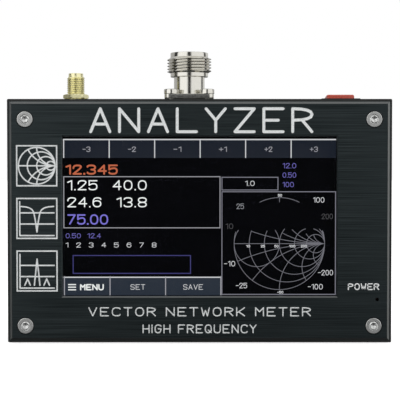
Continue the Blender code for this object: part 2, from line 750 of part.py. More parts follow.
def radio_board():
    """The radio board and its thin screening can."""
    low = (RADIO_X[0], RADIO_Y[0], RADIO_Z[0])
    block("rf_board", low, (RADIO_X[1], RADIO_Y[1], RADIO_Z[1]), circuit_board())
    x, y, z = (-30.0, 14.0), (RADIO_Y[1] + GAP, RADIO_Y[1] + GAP + 3.0), (48.0, 72.0)
    can = soft_block("rf_shield_can", (x[0], y[0], z[0]), (x[1], y[1], z[1]), steel(), 0.6, "Y")
    wall = 0.4
    low = (x[0] + wall, y[0] - 1, z[0] + wall)
    cut(can, opening("can_room", low, (x[1] - wall, y[1] - wall, z[1] - wall)))


def charger():
    """The charger board by the right wall, with the light behind its hole."""
    low = (WIDTH / 2 - WALL - 6.5, CHARGER_Y[0], 10.5)
    block("charger_board", low, (WIDTH / 2 - WALL - 0.4, CHARGER_Y[1], 32.0), circuit_board())
    base, tip, r = CHARGER_Y[0] - GAP, FRAME_FRONT, 1.1
    length = base - tip
    dome = [(r, 0), (r, length - r)]
    for i in range(1, 4):
        angle = pi / 2 * i / 4
        dome.append((r * cos(angle), length - r + r * sin(angle)))
    dome.append((0.2, length))
    look = material("light", (0.7, 0.1, 0.08), 0.3)
    light = turned("charge_led", dome, look, (LIGHT[0], base, LIGHT[1]), TINY_ROUND)
    light.rotation_euler.x = pi / 2


def battery():
    """The battery pouch on its foam pad, with two leads to the charger board."""
    cell_y = (FRAME_BACK - 7.0, FRAME_BACK - 1.0)
    foil = material("pouch", (0.55, 0.57, 0.6), 0.35, 0.6)
    soft_block("battery_cell", (-32, cell_y[0], 8), (30, cell_y[1], 42), foil, 1.5)
    pad_y = (cell_y[1] + GAP, FRAME_BACK)
    foam = material("foam", (0.03, 0.03, 0.03), 0.9)
    block("battery_pad", (-25, pad_y[0], 12), (23, pad_y[1], 38), foam)
    end_y = CHARGER_Y[1] + GAP
    mid_y = (cell_y[0] + cell_y[1]) / 2
    leads = (("red", (0.6, 0.02, 0.02), 34.0, 2.4), ("black", (0.01, 0.01, 0.01), 31.0, 0))
    for name, colour, z, rise in leads:
        run = [(30 + GAP, mid_y, z), (45, 5, z - 6), (58, 2, 18 + rise), (61, -2, 13.2 + rise)]
        run += [(61.3, -5, 12.0 + rise), (61.3, end_y, 12.0 + rise)]
        swept("battery_lead_" + name, run, 0.6, material("lead_" + name, colour, 0.5))


def build():
    clear_scene()
    case_frame()
    front_panel()
    back_panel()
    case_screws()
    n_socket_shell()
    n_socket_insides()
    n_socket_fixings()
    sma_socket_shell()
    sma_insides()
    sma_fixings()
    sma_coax_lead()
    switch_housing()
    switch_rocker()
    switch_terminals()
    display()
    display_ribbon()
    main_board()
    board_fixings()
    usb_socket("data_usb_socket", -1, DATA_SOCKET_Y)
    usb_socket("charge_usb_socket", 1, CHARGE_SOCKET_Y)
    memory_card()
    radio_board()
    charger()
    battery()


build()
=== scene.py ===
"""Looks of the pocket vector network analyzer: fine meshes, materials, screen, light and camera.

Lengths are in millimetres until place() turns a piece into metres. +X is right, +Y back and +Z up.
"""

import json
from math import atan, cos, pi, radians, sin

import bmesh
import bpy
from mathutils import Matrix, Vector


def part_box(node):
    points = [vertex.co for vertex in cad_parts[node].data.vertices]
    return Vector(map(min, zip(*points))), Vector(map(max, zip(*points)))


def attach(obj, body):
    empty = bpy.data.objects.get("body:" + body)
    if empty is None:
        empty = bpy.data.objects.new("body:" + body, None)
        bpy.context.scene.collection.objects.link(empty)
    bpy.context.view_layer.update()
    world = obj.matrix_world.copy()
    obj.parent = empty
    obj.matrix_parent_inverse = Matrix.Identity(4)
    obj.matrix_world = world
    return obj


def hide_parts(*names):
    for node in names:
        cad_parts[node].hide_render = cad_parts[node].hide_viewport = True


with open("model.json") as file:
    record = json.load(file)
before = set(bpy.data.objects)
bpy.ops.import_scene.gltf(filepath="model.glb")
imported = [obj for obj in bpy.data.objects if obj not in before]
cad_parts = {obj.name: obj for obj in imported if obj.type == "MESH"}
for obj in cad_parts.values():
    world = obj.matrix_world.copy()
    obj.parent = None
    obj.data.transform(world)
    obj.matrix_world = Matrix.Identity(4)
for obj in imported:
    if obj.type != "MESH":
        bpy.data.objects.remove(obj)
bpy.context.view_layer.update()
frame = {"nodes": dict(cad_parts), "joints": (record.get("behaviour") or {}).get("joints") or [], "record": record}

MM = 0.001


def box(node):
    """A CAD node's lowest and highest corners, in millimetres."""
    low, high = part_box(node)
    return low / MM, high / MM


def middle(node):
    low, high = box(node)
    return (low + high) / 2


# Places taken from the CAD frame
CASE_LOW, CASE_HIGH = box("case_frame")
PLATE_LOW, PLATE_HIGH = box("front_panel")
BACK = box("back_panel")[1].y
TOP = CASE_HIGH.z
FACE = PLATE_LOW.y  # the front face
RIM = CASE_HIGH.x - PLATE_HIGH.x  # how far the plates stand in, and the width of their chamfer
SCREEN = middle("touch_panel")
LCD_FRONT = box("lcd_module")[0].y
CASE_SCREWS = [(middle(f"front_screw_{i}").x, middle(f"front_screw_{i}").z) for i in (1, 2, 3, 4)]
HEAD_R = (box("front_screw_1")[1].x - box("front_screw_1")[0].x) / 2
N_AXIS = Vector((middle("n_socket_shell").x, 0, TOP))
SMA_AXIS = Vector((middle("sma_socket_shell").x, 0, TOP))
LIGHT = middle("charge_led")

# Front plate, as in the CAD
HEAD_DEPTH = 1.55
HEAD_FLAT = 0.25
CLEARANCE = 0.25  # between a screw head and its countersink
SHANK_R = 1.45
WINDOW = (96.0, 56.8)
WINDOW_EDGE = 0.35
SILL = 0.88  # the window's lower edge is bevelled this much further up
LEDGE = 0.2  # flat strip outside the front plate's chamfer
LIGHT_BORE_R = 0.6

# Engraving
ENGRAVING_DEPTH = 0.25
TITLE_STROKE = 1.04
TEXT_STROKE = 0.42
ICON_STROKE = 0.5
ICON_SIDE = 13.95  # between the middles of its frame lines
ICON_X = PLATE_LOW.x + 9.85
ICON_PITCH = 18.4

# The picture on the display, laid out in its own 480 x 272 dots
DOT = 96.2 / 480
DOT_HEIGHT = 55.5 / 272
DOTS = (480, 272)
PICTURE = Vector((0.0, LCD_FRONT, SCREEN.z + 0.15))

# N jack: 5/8 inch thread, 24 turns to the inch. Heights are from the case's top
N_NECK_R = 5.5
N_COLLAR_R = 6.75
N_COLLAR_Z = (8.38, 9.77)
N_THREAD_R = 15.875 / 2
N_THREAD_END = 15.32
N_PITCH = 25.4 / 24
N_BORE_R = 4.05
N_TIP = box("n_socket_shell")[1].z - TOP
N_REAR_R = 5.0
N_REAR = box("n_socket_shell")[0].z - TOP
N_SEAT = N_TIP - 9.0
FLANGE_Z = (0.3, 2.06)
FLANGE_SIDE = 17.5
FLANGE_R = 2.0

# SMA jack: 1/4 inch thread, 36 turns to the inch
SMA_THREAD_R = 6.35 / 2
SMA_PITCH = 25.4 / 36
SMA_TIP_R = 2.6
SMA_BORE_R = 2.1
SMA_TIP = box("sma_socket_shell")[1].z - TOP
SMA_SEAT = SMA_TIP - 1.9
SMA_REAR = box("sma_socket_shell")[0].z - TOP
NUT_FLATS = 8.0
NUT_TURN = radians(11.5)

# Camera and stage
CAMERA_DISTANCE = 420.0  # from the front face
CAMERA_HEIGHT = 63.0
CAMERA_AIM = Vector((0.15, FACE, 50.24))
PICTURE_WIDTH = 139.65  # what the frame spans at the front face
SENSOR = 36.0


# --- materials --------------------------------------------------------------------------------------


def add_node(tree, kind, inputs=(), **settings):
    """A shader node with its settings, its inputs being values or other nodes' outputs."""
    made = tree.nodes.new("ShaderNode" + kind)
    for key, value in settings.items():
        setattr(made, key, value)
    for key, value in dict(inputs).items():
        if isinstance(value, bpy.types.NodeSocket):
            tree.links.new(value, made.inputs[key])
        else:
            made.inputs[key].default_value = value
    return made


class Look:
    """A Principled material and the procedural nodes that drive it."""

    def __init__(self, name, roughness=0.5, metallic=0.0, **others):
        self.made = bpy.data.materials.new(name)
        self.made.use_nodes = True
        self.tree = self.made.node_tree
        self.shader = self.tree.nodes["Principled BSDF"]
        self.set("Roughness", roughness)
        self.set("Metallic", metallic)
        for key, value in others.items():
            self.set(key.replace("_", " "), value)

    def set(self, socket, value):
        """Give an input a number, a colour or another node's output."""
        target = self.shader.inputs[socket]
        if isinstance(value, bpy.types.NodeSocket):
            self.tree.links.new(value, target)
        elif isinstance(value, tuple) and len(value) == 3 and target.type == "RGBA":
            target.default_value = (*value, 1)
        else:
            target.default_value = value

    def node(self, kind, inputs=(), **settings):
        return add_node(self.tree, kind, inputs, **settings)

    def place(self, size, stretch=(1, 1, 1)):
        """Object coordinates counted in lengths of `size` millimetres, longer where stretched."""
        scale = [1 / (size * MM * s) for s in stretch]
        where = self.node("TexCoord").outputs["Object"]
        return self.node("Mapping", {"Vector": where, "Scale": scale}).outputs["Vector"]

    def noise(self, size, stretch=(1, 1, 1), detail=3.0):
        inputs = {"Vector": self.place(size, stretch), "Scale": 1.0, "Detail": detail}
        return self.node("TexNoise", inputs).outputs["Fac"]

    def cells(self, size, stretch=(1, 1, 1)):
        inputs = {"Vector": self.place(size, stretch), "Scale": 1.0}
        return self.node("TexVoronoi", inputs).outputs["Distance"]

    def between(self, low, high, factor):
        """A number that goes from low to high as the factor goes from 0.3 to 0.7."""
        inputs = {"Value": factor, "From Min": 0.3, "From Max": 0.7, "To Min": low, "To Max": high}
        return self.node("MapRange", inputs).outputs["Result"]

    def mix(self, dark, light, factor):
        """A colour between two, which may be colours or outputs."""
        made = self.node("Mix", data_type="RGBA")
        for socket, value in ((made.inputs[6], dark), (made.inputs[7], light), (made.inputs[0], factor)):
            if isinstance(value, bpy.types.NodeSocket):
                self.tree.links.new(value, socket)
            else:
                socket.default_value = (*value, 1) if isinstance(value, tuple) else value
        return made.outputs[2]

    def bump(self, height, depth, strength=1.0):
        """Relief of up to `depth` millimetres."""
        inputs = {"Height": height, "Distance": depth * MM, "Strength": strength}
        self.set("Normal", self.node("Bump", inputs).outputs["Normal"])


LOOKS = {}


def look(maker):
    """Each material is made once, the first time its function is called."""

    def once(*args):
        key = (maker.__name__, args)
        if key not in LOOKS:
            LOOKS[key] = maker(*args).made
        return LOOKS[key]

    return once


@look
def brushed_black(along="X"):
    """Black anodised aluminium, brushed along one axis."""
    made = Look("brushed_black_" + along, metallic=1.0)
    stretch = {"X": (260, 3, 1), "Z": (1, 3, 260)}[along]
    grain = made.noise(0.12, stretch, 2.0)
    cloud = made.noise(38.0, detail=1.0)
    tone = made.mix((0.018, 0.026, 0.028), (0.084, 0.104, 0.109), made.between(0, 1, grain))
    made.set("Base Color", made.mix(tone, (0.048, 0.060, 0.064), made.between(0, 0.3, cloud)))
    made.set("Roughness", made.between(0.30, 0.42, grain))
    made.bump(grain, 0.004, 0.35)
    return made


@look
def chamfer_painted_sheen():
    """The chamfers, cut after brushing and then anodised: painted paler than the faces as a reflection of the
    bright studio, and paler still where they face left or right.
    """
    made = Look("chamfer_painted_sheen", metallic=1.0)
    grain = made.noise(0.2, (1, 1, 30), 2.0)
    level = made.mix((0.125, 0.132, 0.132), (0.15, 0.157, 0.157), grain)
    facing = made.node("SeparateXYZ", {0: made.node("NewGeometry").outputs["True Normal"]})
    painted_side_sheen = made.node("Math", {0: facing.outputs["X"]}, operation="ABSOLUTE").outputs[0]
    # Painted reflection: chamfers facing left or right get a far paler colour for the bright studio sides they
    # mirror; the others keep the darker grain tone.
    made.set("Base Color", made.mix(level, (0.34, 0.355, 0.35), painted_side_sheen))
    made.set("Roughness", made.between(0.40, 0.50, grain))
    return made


@look
def satin_black():
    """Black anodised aluminium, bead blasted."""
    made = Look("satin_black", metallic=1.0)
    grain = made.noise(0.09, detail=2.0)
    cloud = made.noise(22.0, detail=2.0)
    made.set("Base Color", made.mix((0.055, 0.056, 0.055), (0.080, 0.082, 0.081), made.between(0, 1, cloud)))
    made.set("Roughness", made.between(0.38, 0.5, grain))
    made.bump(grain, 0.006, 0.4)
    return made


@look
def white_paint():
    """The paint wiped into the engraving: thin and a little uneven."""
    made = Look("white_paint", 0.6)
    speck = made.noise(0.35, detail=4.0)
    made.set("Base Color", made.mix((0.70, 0.72, 0.72), (0.90, 0.92, 0.92), made.between(0, 1, speck)))
    made.bump(speck, 0.02, 0.5)
    return made


@look
def steel():
    made = Look("bright_steel", metallic=1.0)
    turning = made.noise(0.2, detail=3.0)
    made.set("Base Color", made.mix((0.66, 0.67, 0.66), (0.82, 0.83, 0.82), turning))
    made.set("Roughness", made.between(0.30, 0.40, turning))
    return made


@look
def nickel():
    """Bright nickel plate with a faint warm tint and turning marks."""
    made = Look("nickel_plate", metallic=1.0)
    rings = made.noise(0.10, (30, 30, 1), 2.0)
    mottle_and_painted_glare = made.noise(3.0, detail=3.0)
    made.set("Base Color", made.mix((0.60, 0.585, 0.53), (0.76, 0.745, 0.69), mottle_and_painted_glare))
    made.set("Roughness", made.between(0.12, 0.22, mottle_and_painted_glare))
    made.bump(rings, 0.002, 0.25)
    return made


@look
def flange_side_painted_shade():
    """The flange's milled sides: rough nickel, painted much darker as shade for the dark surroundings they mirror.
    """
    made = Look("flange_side_painted_shade", metallic=1.0)
    cut = made.noise(0.5, (1, 1, 0.6), 4.0)
    # Painted shade: a dark base colour stands in for the dark surroundings the sides mirror.
    made.set("Base Color", made.mix((0.12, 0.12, 0.115), (0.30, 0.30, 0.285), made.between(0, 1, cut)))
    made.set("Roughness", made.between(0.32, 0.5, cut))
    made.bump(cut, 0.03, 0.6)
    return made


@look
def gold():
    """Pale gold plate."""
    made = Look("gold_plate", metallic=1.0)
    rings = made.noise(0.08, (30, 30, 1), 2.0)
    mottle_and_painted_glare = made.noise(2.0, detail=3.0)
    made.set("Base Color", made.mix((0.86, 0.81, 0.46), (0.94, 0.89, 0.56), mottle_and_painted_glare))
    made.set("Roughness", made.between(0.28, 0.38, mottle_and_painted_glare))
    made.bump(rings, 0.003, 0.3)
    return made


@look
def ptfe():
    made = Look("white_ptfe", 0.45)
    mottle_and_painted_glare = made.noise(1.5)
    made.set("Base Color", made.mix((0.80, 0.80, 0.78), (0.90, 0.90, 0.88), mottle_and_painted_glare))
    made.set("Subsurface Weight", 0.15)
    made.set("Subsurface Radius", (0.001, 0.001, 0.001))
    return made


@look
def moulded(name, dark, light, roughness, texture=0.25):
    """Moulded plastic with a fine spark-eroded texture."""
    made = Look(name)
    grain = made.cells(texture)
    cloud = made.noise(6.0)
    made.set("Base Color", made.mix(dark, light, cloud))
    made.set("Roughness", made.between(roughness - 0.06, roughness + 0.08, grain))
    made.bump(grain, 0.012, 0.3)
    return made


def black_plastic():
    return moulded("black_nylon", (0.012, 0.012, 0.013), (0.024, 0.024, 0.026), 0.45)


def red_plastic():
    return moulded("red_nylon", (0.50, 0.07, 0.045), (0.62, 0.11, 0.07), 0.26, 0.4)


def foam():
    return moulded("grey_foam", (0.03, 0.03, 0.032), (0.07, 0.07, 0.075), 0.9, 0.35)


@look
def glass():
    """The touch panel: clear, with a faint painted reflection, an emission that grows at a slant."""
    made = Look("touch_glass")
    tree = made.tree
    clear = made.node("BsdfTransparent")
    glare_noise = made.between(0.006, 0.010, made.noise(14.0, (1, 1, 2)))
    fresnel = made.node("Fresnel", {"IOR": 1.42}).outputs[0]
    inside = made.node("NewGeometry").outputs["Backfacing"]
    outside = made.node("Math", {0: 1.0, 1: inside}, operation="SUBTRACT").outputs[0]
    shining = made.node("Math", {0: fresnel, 1: outside}, operation="MULTIPLY").outputs[0]
    strength = made.node("Math", {0: shining, 1: glare_noise}, operation="MULTIPLY").outputs[0]
    # Painted reflection: the glass glows by its Fresnel factor instead of mirroring the studio.
    mottle_and_painted_glare = made.node("Emission", {"Strength": strength})
    blend = made.node("AddShader", {0: clear.outputs[0], 1: mottle_and_painted_glare.outputs[0]})
    out = next(n for n in tree.nodes if n.type == "OUTPUT_MATERIAL")
    tree.links.new(blend.outputs[0], out.inputs["Surface"])
    return made


@look
def dark_screen():
    """The display's unlit dots: near black, with a trace of backlight."""
    made = Look("dark_screen", 0.08, Specular_IOR_Level=0.15)
    made.set("Base Color", made.mix((0.001, 0.001, 0.0015), (0.002, 0.002, 0.003), made.noise(30.0)))
    made.set("Emission Color", (0.35, 0.4, 0.5))
    made.set("Emission Strength", 0.002)
    return made


@look
def lit(name, red, green, blue, strength):
    """Lit dots of one colour, with a faint unevenness of the backlight."""
    made = Look("lit_" + name, 0.1, Specular_IOR_Level=0.05)
    glow = made.noise(45.0, detail=1.0)
    colour = (red, green, blue)
    dim = tuple(0.9 * c for c in colour)
    made.set("Base Color", (0.01, 0.01, 0.01))
    made.set("Emission Color", made.mix(dim, colour, glow))
    made.set("Emission Strength", strength)
    return made


@look
def printed_board(red, green, blue):
    """Solder mask over copper tracks, with a few pads."""
    made = Look(f"board_{round(100 * green)}")
    mask = (red, green, blue)
    tracks = made.node("TexBrick", {"Vector": made.place(1.6), "Scale": 1.0, "Mortar Size": 0.06})
    tracks.inputs["Color1"].default_value = (1, 1, 1, 1)
    tracks.inputs["Color2"].default_value = (0.8, 0.8, 0.8, 1)
    lighter = tuple(1.7 * c for c in mask)
    made.set("Base Color", made.mix(lighter, mask, tracks.outputs["Color"]))
    made.set("Roughness", made.between(0.28, 0.4, made.noise(4.0)))
    made.bump(tracks.outputs["Fac"], 0.03, 0.5)
    return made


@look
def chip_black():
    made = Look("chip_epoxy")
    grain = made.noise(0.15, detail=4.0)
    made.set("Base Color", made.mix((0.012, 0.012, 0.014), (0.028, 0.028, 0.03), grain))
    made.set("Roughness", made.between(0.45, 0.65, grain))
    made.bump(grain, 0.01, 0.4)
    return made


@look
def tinned_can():
    made = Look("tinned_can", metallic=1.0)
    grain = made.noise(0.8, (8, 8, 1), 3.0)
    made.set("Base Color", made.mix((0.55, 0.56, 0.57), (0.72, 0.73, 0.73), grain))
    made.set("Roughness", made.between(0.25, 0.4, grain))
    made.bump(grain, 0.01, 0.3)
    return made


@look
def stamped(name, red, green, blue, roughness):
    """Small metal parts: brass stand-offs, copper leads."""
    made = Look(name, metallic=1.0)
    grain = made.noise(0.5, detail=3.0)
    colour = (red, green, blue)
    made.set("Base Color", made.mix(tuple(0.8 * c for c in colour), colour, grain))
    made.set("Roughness", made.between(roughness, roughness + 0.12, grain))
    return made


@look
def flat_cable():
    """Brown polyimide over parallel copper tracks."""
    made = Look("flat_cable", 0.35)
    bands = made.node("TexWave", {"Vector": made.place(1.0), "Scale": 1.0, "Distortion": 0.0})
    made.set("Base Color", made.mix((0.30, 0.12, 0.02), (0.50, 0.24, 0.06), bands.outputs["Fac"]))
    made.bump(bands.outputs["Fac"], 0.02, 0.4)
    return made


@look
def battery_foil():
    """Crinkled aluminium laminate."""
    made = Look("battery_foil", metallic=1.0)
    crinkle = made.noise(5.0, detail=5.0)
    made.set("Base Color", made.mix((0.50, 0.51, 0.52), (0.66, 0.67, 0.67), crinkle))
    made.set("Roughness", made.between(0.3, 0.5, crinkle))
    made.bump(crinkle, 0.15, 0.6)
    return made


def sleeve(name, dark, light):
    return moulded(name, dark, light, 0.4, 0.3)


SLOT_LOOKS = {
    "case_metal": satin_black,
    "fastener": steel,
    "nickel": nickel,
    "gold_plate": gold,
    "insulator": ptfe,
    "black_plastic": black_plastic,
    "red_plastic": red_plastic,
    "touch_glass": glass,
    "screen": dark_screen,
    "foam": foam,
    "circuit_board": lambda: printed_board(0.006, 0.075, 0.03),
    "chip": chip_black,
    "can": tinned_can,
    "ribbon": flat_cable,
    "battery_foil": battery_foil,
    "lead_red": lambda: sleeve("red_sleeve", (0.35, 0.02, 0.02), (0.5, 0.03, 0.03)),
    "lead_black": lambda: sleeve("black_sleeve", (0.012, 0.012, 0.012), (0.03, 0.03, 0.03)),
    "copper": lambda: stamped("tinned_copper", 0.85, 0.45, 0.3, 0.25),
    "spacer_brass": lambda: stamped("brass", 0.8, 0.6, 0.28, 0.22),
    "light": lambda: moulded("red_lens", (0.06, 0.005, 0.005), (0.10, 0.008, 0.008), 0.3),
    "card": chip_black,
}


def dress_frame():
    """Give every CAD node the look of its material slot in the record."""
    for part in frame["record"]["subparts"]:
        node = frame["nodes"][part["node"]]
        node.data.materials.clear()
        node.data.materials.append(SLOT_LOOKS[part["material_slot"]]())


# --- mesh tools -------------------------------------------------------------------------------------


def new_thing(name, bm, *looks):
    """A new object from a mesh drawn in millimetres."""
    bmesh.ops.recalc_face_normals(bm, faces=bm.faces)
    mesh = bpy.data.meshes.new(name)
    bm.to_mesh(mesh)
    bm.free()
    for material in looks:
        mesh.materials.append(material)
    thing = bpy.data.objects.new(name, mesh)
    bpy.context.scene.collection.objects.link(thing)
    return thing


def place(thing, body="case", nodes=(), sharp=32):
    """Turn a finished mesh into metres, shade it and hand it to its body, for the CAD nodes it shows."""
    thing.data.transform(Matrix.Scale(MM, 4))
    thing.data.shade_smooth()
    thing.data.set_sharp_from_angle(angle=radians(sharp))
    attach(thing, body)
    if nodes:
        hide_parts(*nodes)
    return thing


def add_rings(bm, rings, closed=False, material=0):
    """Faces between rings of points that each have the same count; the ends are capped unless closed."""
    loops = [[bm.verts.new(p) for p in ring] for ring in rings]
    count = len(loops[0])
    pairs = list(zip(loops, loops[1:]))
    if closed:
        pairs.append((loops[-1], loops[0]))
    faces = []
    for a, b in pairs:
        for i in range(count):
            j = (i + 1) % count
            faces.append(bm.faces.new((a[i], a[j], b[j], b[i])))
    if not closed:
        faces.append(bm.faces.new(list(reversed(loops[0]))))
        faces.append(bm.faces.new(loops[-1]))
    for face in faces:
        face.material_index = material


TOWARD = {
    "Z": Matrix(),
    "X": Matrix.Rotation(pi / 2, 4, "Y"),
    "Y": Matrix.Rotation(-pi / 2, 4, "X"),
    "-Y": Matrix.Rotation(pi / 2, 4, "X"),
}


def turned(name, profile, material, at, segments=64, closed=False, toward="Z"):
    """A turned piece. A profile point is (radius, height), and either may be a function of the angle."""
    rings = []
    for radius, height in profile:
        ring = []
        for i in range(segments):
            angle = 2 * pi * i / segments
            r = radius(angle) if callable(radius) else radius
            z = height(angle) if callable(height) else height
            ring.append(Vector((r * cos(angle), r * sin(angle), z)))
        rings.append(ring)
    bm = bmesh.new()
    add_rings(bm, rings, closed)
    bm.transform(Matrix.Translation(at) @ TOWARD[toward])
    return new_thing(name, bm, material)


def rounded_outline(width, height, radius, steps=6):
    """Corner-rounded rectangle about the origin, as points in a plane."""
    points = []
    for k, (sx, sy) in enumerate(((1, 1), (-1, 1), (-1, -1), (1, -1))):
        for i in range(steps + 1):
            angle = radians(90) * (k + i / steps)
            x = sx * (width / 2 - radius) + radius * cos(angle)
            y = sy * (height / 2 - radius) + radius * sin(angle)
            points.append((x, y))
    return points


def plate(name, size, radius, levels, material, at, facing="Z", steps=6):
    """A rounded rectangular slab. Each level is (inset, height), from one face to the other."""
    rings = []
    for inset, height in levels:
        outline = rounded_outline(size[0] - 2 * inset, size[1] - 2 * inset, max(radius - inset, 0.02), steps)
        rings.append([Vector((x, y, height)) for x, y in outline])
    bm = bmesh.new()
    add_rings(bm, rings)
    bm.transform(Matrix.Translation(at) @ TOWARD[facing])
    return new_thing(name, bm, material)


def soft_edges(low, high, edge, steps=3):
    """Levels for plate() that round its two rims."""
    arc = [radians(90) * i / steps for i in range(steps + 1)]
    lower = [(edge * (1 - sin(a)), low + edge * (1 - cos(a))) for a in arc]
    upper = [(edge * (1 - sin(a)), high - edge * (1 - cos(a))) for a in reversed(arc)]
    return lower + upper


def settle(thing):
    """Make what the modifiers show the object's own mesh."""
    bpy.context.view_layer.update()
    graph = bpy.context.evaluated_depsgraph_get()
    mesh = bpy.data.meshes.new_from_object(thing.evaluated_get(graph))
    thing.modifiers.clear()
    thing.data = mesh


def combine(thing, other, operation="DIFFERENCE", overlapping=False):
    """Cut one object out of another, or join it on. New faces keep the other's material."""
    modifier = thing.modifiers.new(operation.lower(), "BOOLEAN")
    modifier.operation = operation
    modifier.object = other
    modifier.solver = "EXACT"
    modifier.use_self = overlapping
    modifier.material_mode = "TRANSFER"
    settle(thing)
    bpy.data.objects.remove(other)


# --- strokes and letters ----------------------------------------------------------------------------


def add_stroke(bm, points, width, low, high, closed=False, round_ends=True, material=0):
    """A flat line of some width through points (x, z), as a closed solid from y = low to y = high."""
    count = len(points)
    half = width / 2
    left, right = [], []
    for i, point in enumerate(points):
        point = Vector(point)
        before = point - Vector(points[i - 1]) if i or closed else None
        after = Vector(points[(i + 1) % count]) - point if i < count - 1 or closed else None
        sides = [Vector((-d.y, d.x)).normalized() for d in (before, after) if d is not None]
        side = sum(sides, Vector((0, 0))).normalized()
        reach = half / max(side.dot(sides[0]), 0.35)
        left.append(point + side * reach)
        right.append(point - side * reach)
    if closed:
        rings = [[Vector((p.x, y, p.y)) for p in edge] for edge, y in
                 ((left, low), (left, high), (right, high), (right, low))]
        add_rings(bm, rings, closed=True, material=material)
        return

    def cap(centre, start):
        """Points round an end, from one edge to the other."""
        arm = start - centre
        return [centre + Matrix.Rotation(-pi * k / 5, 2) @ arm for k in range(1, 5)]

    outline = left + (cap(Vector(points[-1]), left[-1]) if round_ends else [])
    outline += right[::-1] + (cap(Vector(points[0]), right[0]) if round_ends else [])
    fronts = [bm.verts.new((p.x, low, p.y)) for p in outline]
    backs = [bm.verts.new((p.x, high, p.y)) for p in outline]
    size = len(outline)
    extra = size - 2 * count  # the caps' own points
    first_cap = extra // 2
    faces = []
    for verts in (fronts, backs):
        for i in range(count - 1):
            a, b = count + first_cap + (count - 1 - i), count + first_cap + (count - 2 - i)
            faces.append(bm.faces.new((verts[i], verts[i + 1], verts[b], verts[a])))
        if round_ends:
            faces.append(bm.faces.new(verts[count - 1: count + first_cap + 1]))
            faces.append(bm.faces.new(verts[2 * count + first_cap - 1:] + [verts[0]]))
    for i in range(size):
        j = (i + 1) % size
        faces.append(bm.faces.new((fronts[i], fronts[j], backs[j], backs[i])))
    for face in faces:
        face.material_index = material


def add_bar(bm, low, high):
    """A plain thin rectangle: a filled field or a straight line of a chart."""
    x0, y0, z0 = low
    x1, y1, z1 = high
    rings = [[(x0, y, z0), (x1, y, z0), (x1, y, z1), (x0, y, z1)] for y in (y0, y1)]
    add_rings(bm, rings)


def softened(points, steps=4):
    """A smooth curve that starts and ends on the outer points and rounds the corners between."""
    points = [Vector(p) for p in points]
    curve = [points[0]]
    for i in range(1, len(points) - 1):
        a = points[0] if i == 1 else (points[i - 1] + points[i]) / 2
        b = points[i]
        c = points[-1] if i == len(points) - 2 else (points[i] + points[i + 1]) / 2
        for k in range(1, steps + 1):
            t = k / steps
            curve.append(a * (1 - t) ** 2 + b * 2 * t * (1 - t) + c * t * t)
    return curve


# Letters made of strokes, on a grid. Each point is two digits, x then y: the baseline is at 2 and
# capitals reach 8. A stroke that starts with ~ is drawn with round corners, and a single
# point is a dot.
GLYPHS = {
    "A": "0228 2842 1434", "C": "~474808024243", "E": "0848 0208 0242 0535", "F": "0208 0848 0535",
    "G": "~474808024245 4525", "H": "0208 4248 0545", "I": "0208", "K": "0208 0448 1542", "L": "0802 0242",
    "M": "0208 0825 2548 4842", "N": "0208 0842 4248", "O": "~050242480805", "P": "0208 ~08484505",
    "Q": "~050242480805 2442", "R": "0208 ~08484505 2542", "S": "~4748080545420203", "T": "0848 2822",
    "U": "0804 ~04024244 4448", "V": "0822 2248", "W": "0812 1226 2632 3248", "Y": "0825 4825 2522",
    "Z": "0848 4802 0242",
    "0": "~050242480805", "1": "0728 2822", "2": "~0608484602 0242", "3": "~0708484525 ~2545420203",
    "4": "3238 3804 0444", "5": "480805 ~051646420203", "6": "~4748080242460604", "7": "0848 4812",
    "8": "~250508484525 ~250502424525", ".": "02", "+": "0545 2327", "-": "0535", " ": "",
}
SPACE = 1.7  # width of a space, in grid units


def glyph_strokes(letter):
    """A letter's strokes as runs of grid points."""
    strokes = []
    for code in GLYPHS[letter].split():
        digits = [int(d) for d in code.lstrip("~")]
        points = list(zip(digits[::2], digits[1::2]))
        strokes.append(softened(points) if code.startswith("~") else points)
    return strokes


def add_text(bm, text, left, width, base, cap, stroke, depth, gap=1.7):
    """Letters drawn with a round-nosed tool, with a given overall width and height of capitals."""
    glyphs = [glyph_strokes(letter) for letter in text]
    spans = [max((x for run in strokes for x, _ in run), default=SPACE) for strokes in glyphs]
    unit_x = (width - stroke) / (sum(spans) + gap * (len(text) - 1))
    unit_z = (cap - stroke) / 6
    cursor = left + stroke / 2
    for strokes, span in zip(glyphs, spans):
        for run in strokes:
            placed = [(cursor + x * unit_x, base + stroke / 2 + (y - 2) * unit_z) for x, y in run]
            if len(run) > 1:
                add_stroke(bm, placed, stroke, *depth)
                continue
            (x, z), half = placed[0], 0.56 * stroke
            add_bar(bm, (x - half, depth[0], z - half), (x + half, depth[1], z + half))
        cursor += (span + gap) * unit_x


# --- front plate ------------------------------------------------------------------------------------


def chamfered_plate(name, low, high, outer, inner, material):
    """A panel with a narrow ledge and a chamfer round its front face, from y = inner to y = outer."""
    rings = []
    for inset, y in ((0, inner), (0, outer + RIM), (LEDGE, outer + RIM), (LEDGE + RIM, outer)):
        a, b, c, d = low.x + inset, high.x - inset, low.z + inset, high.z - inset
        rings.append([(a, y, c), (b, y, c), (b, y, d), (a, y, d)])
    bm = bmesh.new()
    add_rings(bm, rings)
    for face in bm.faces:
        # The chamfer takes the paler chamfer material, a painted reflection.
        on_chamfer = abs(face.calc_center_median().y - outer - RIM / 2) < 0.01
        face.material_index = 1 if on_chamfer else 0
    thing = new_thing(name, bm, material, chamfer_painted_sheen())
    deep = inner - outer
    narrow, wide = SHANK_R + CLEARANCE, HEAD_R + CLEARANCE
    profile = [(narrow, -1.0), (narrow, deep - HEAD_DEPTH), (wide, deep - HEAD_FLAT), (wide, deep + 1.0)]
    for x, z in CASE_SCREWS:
        combine(thing, turned("sink", profile, material, (x, inner, z), 48, toward="-Y"))
    return thing


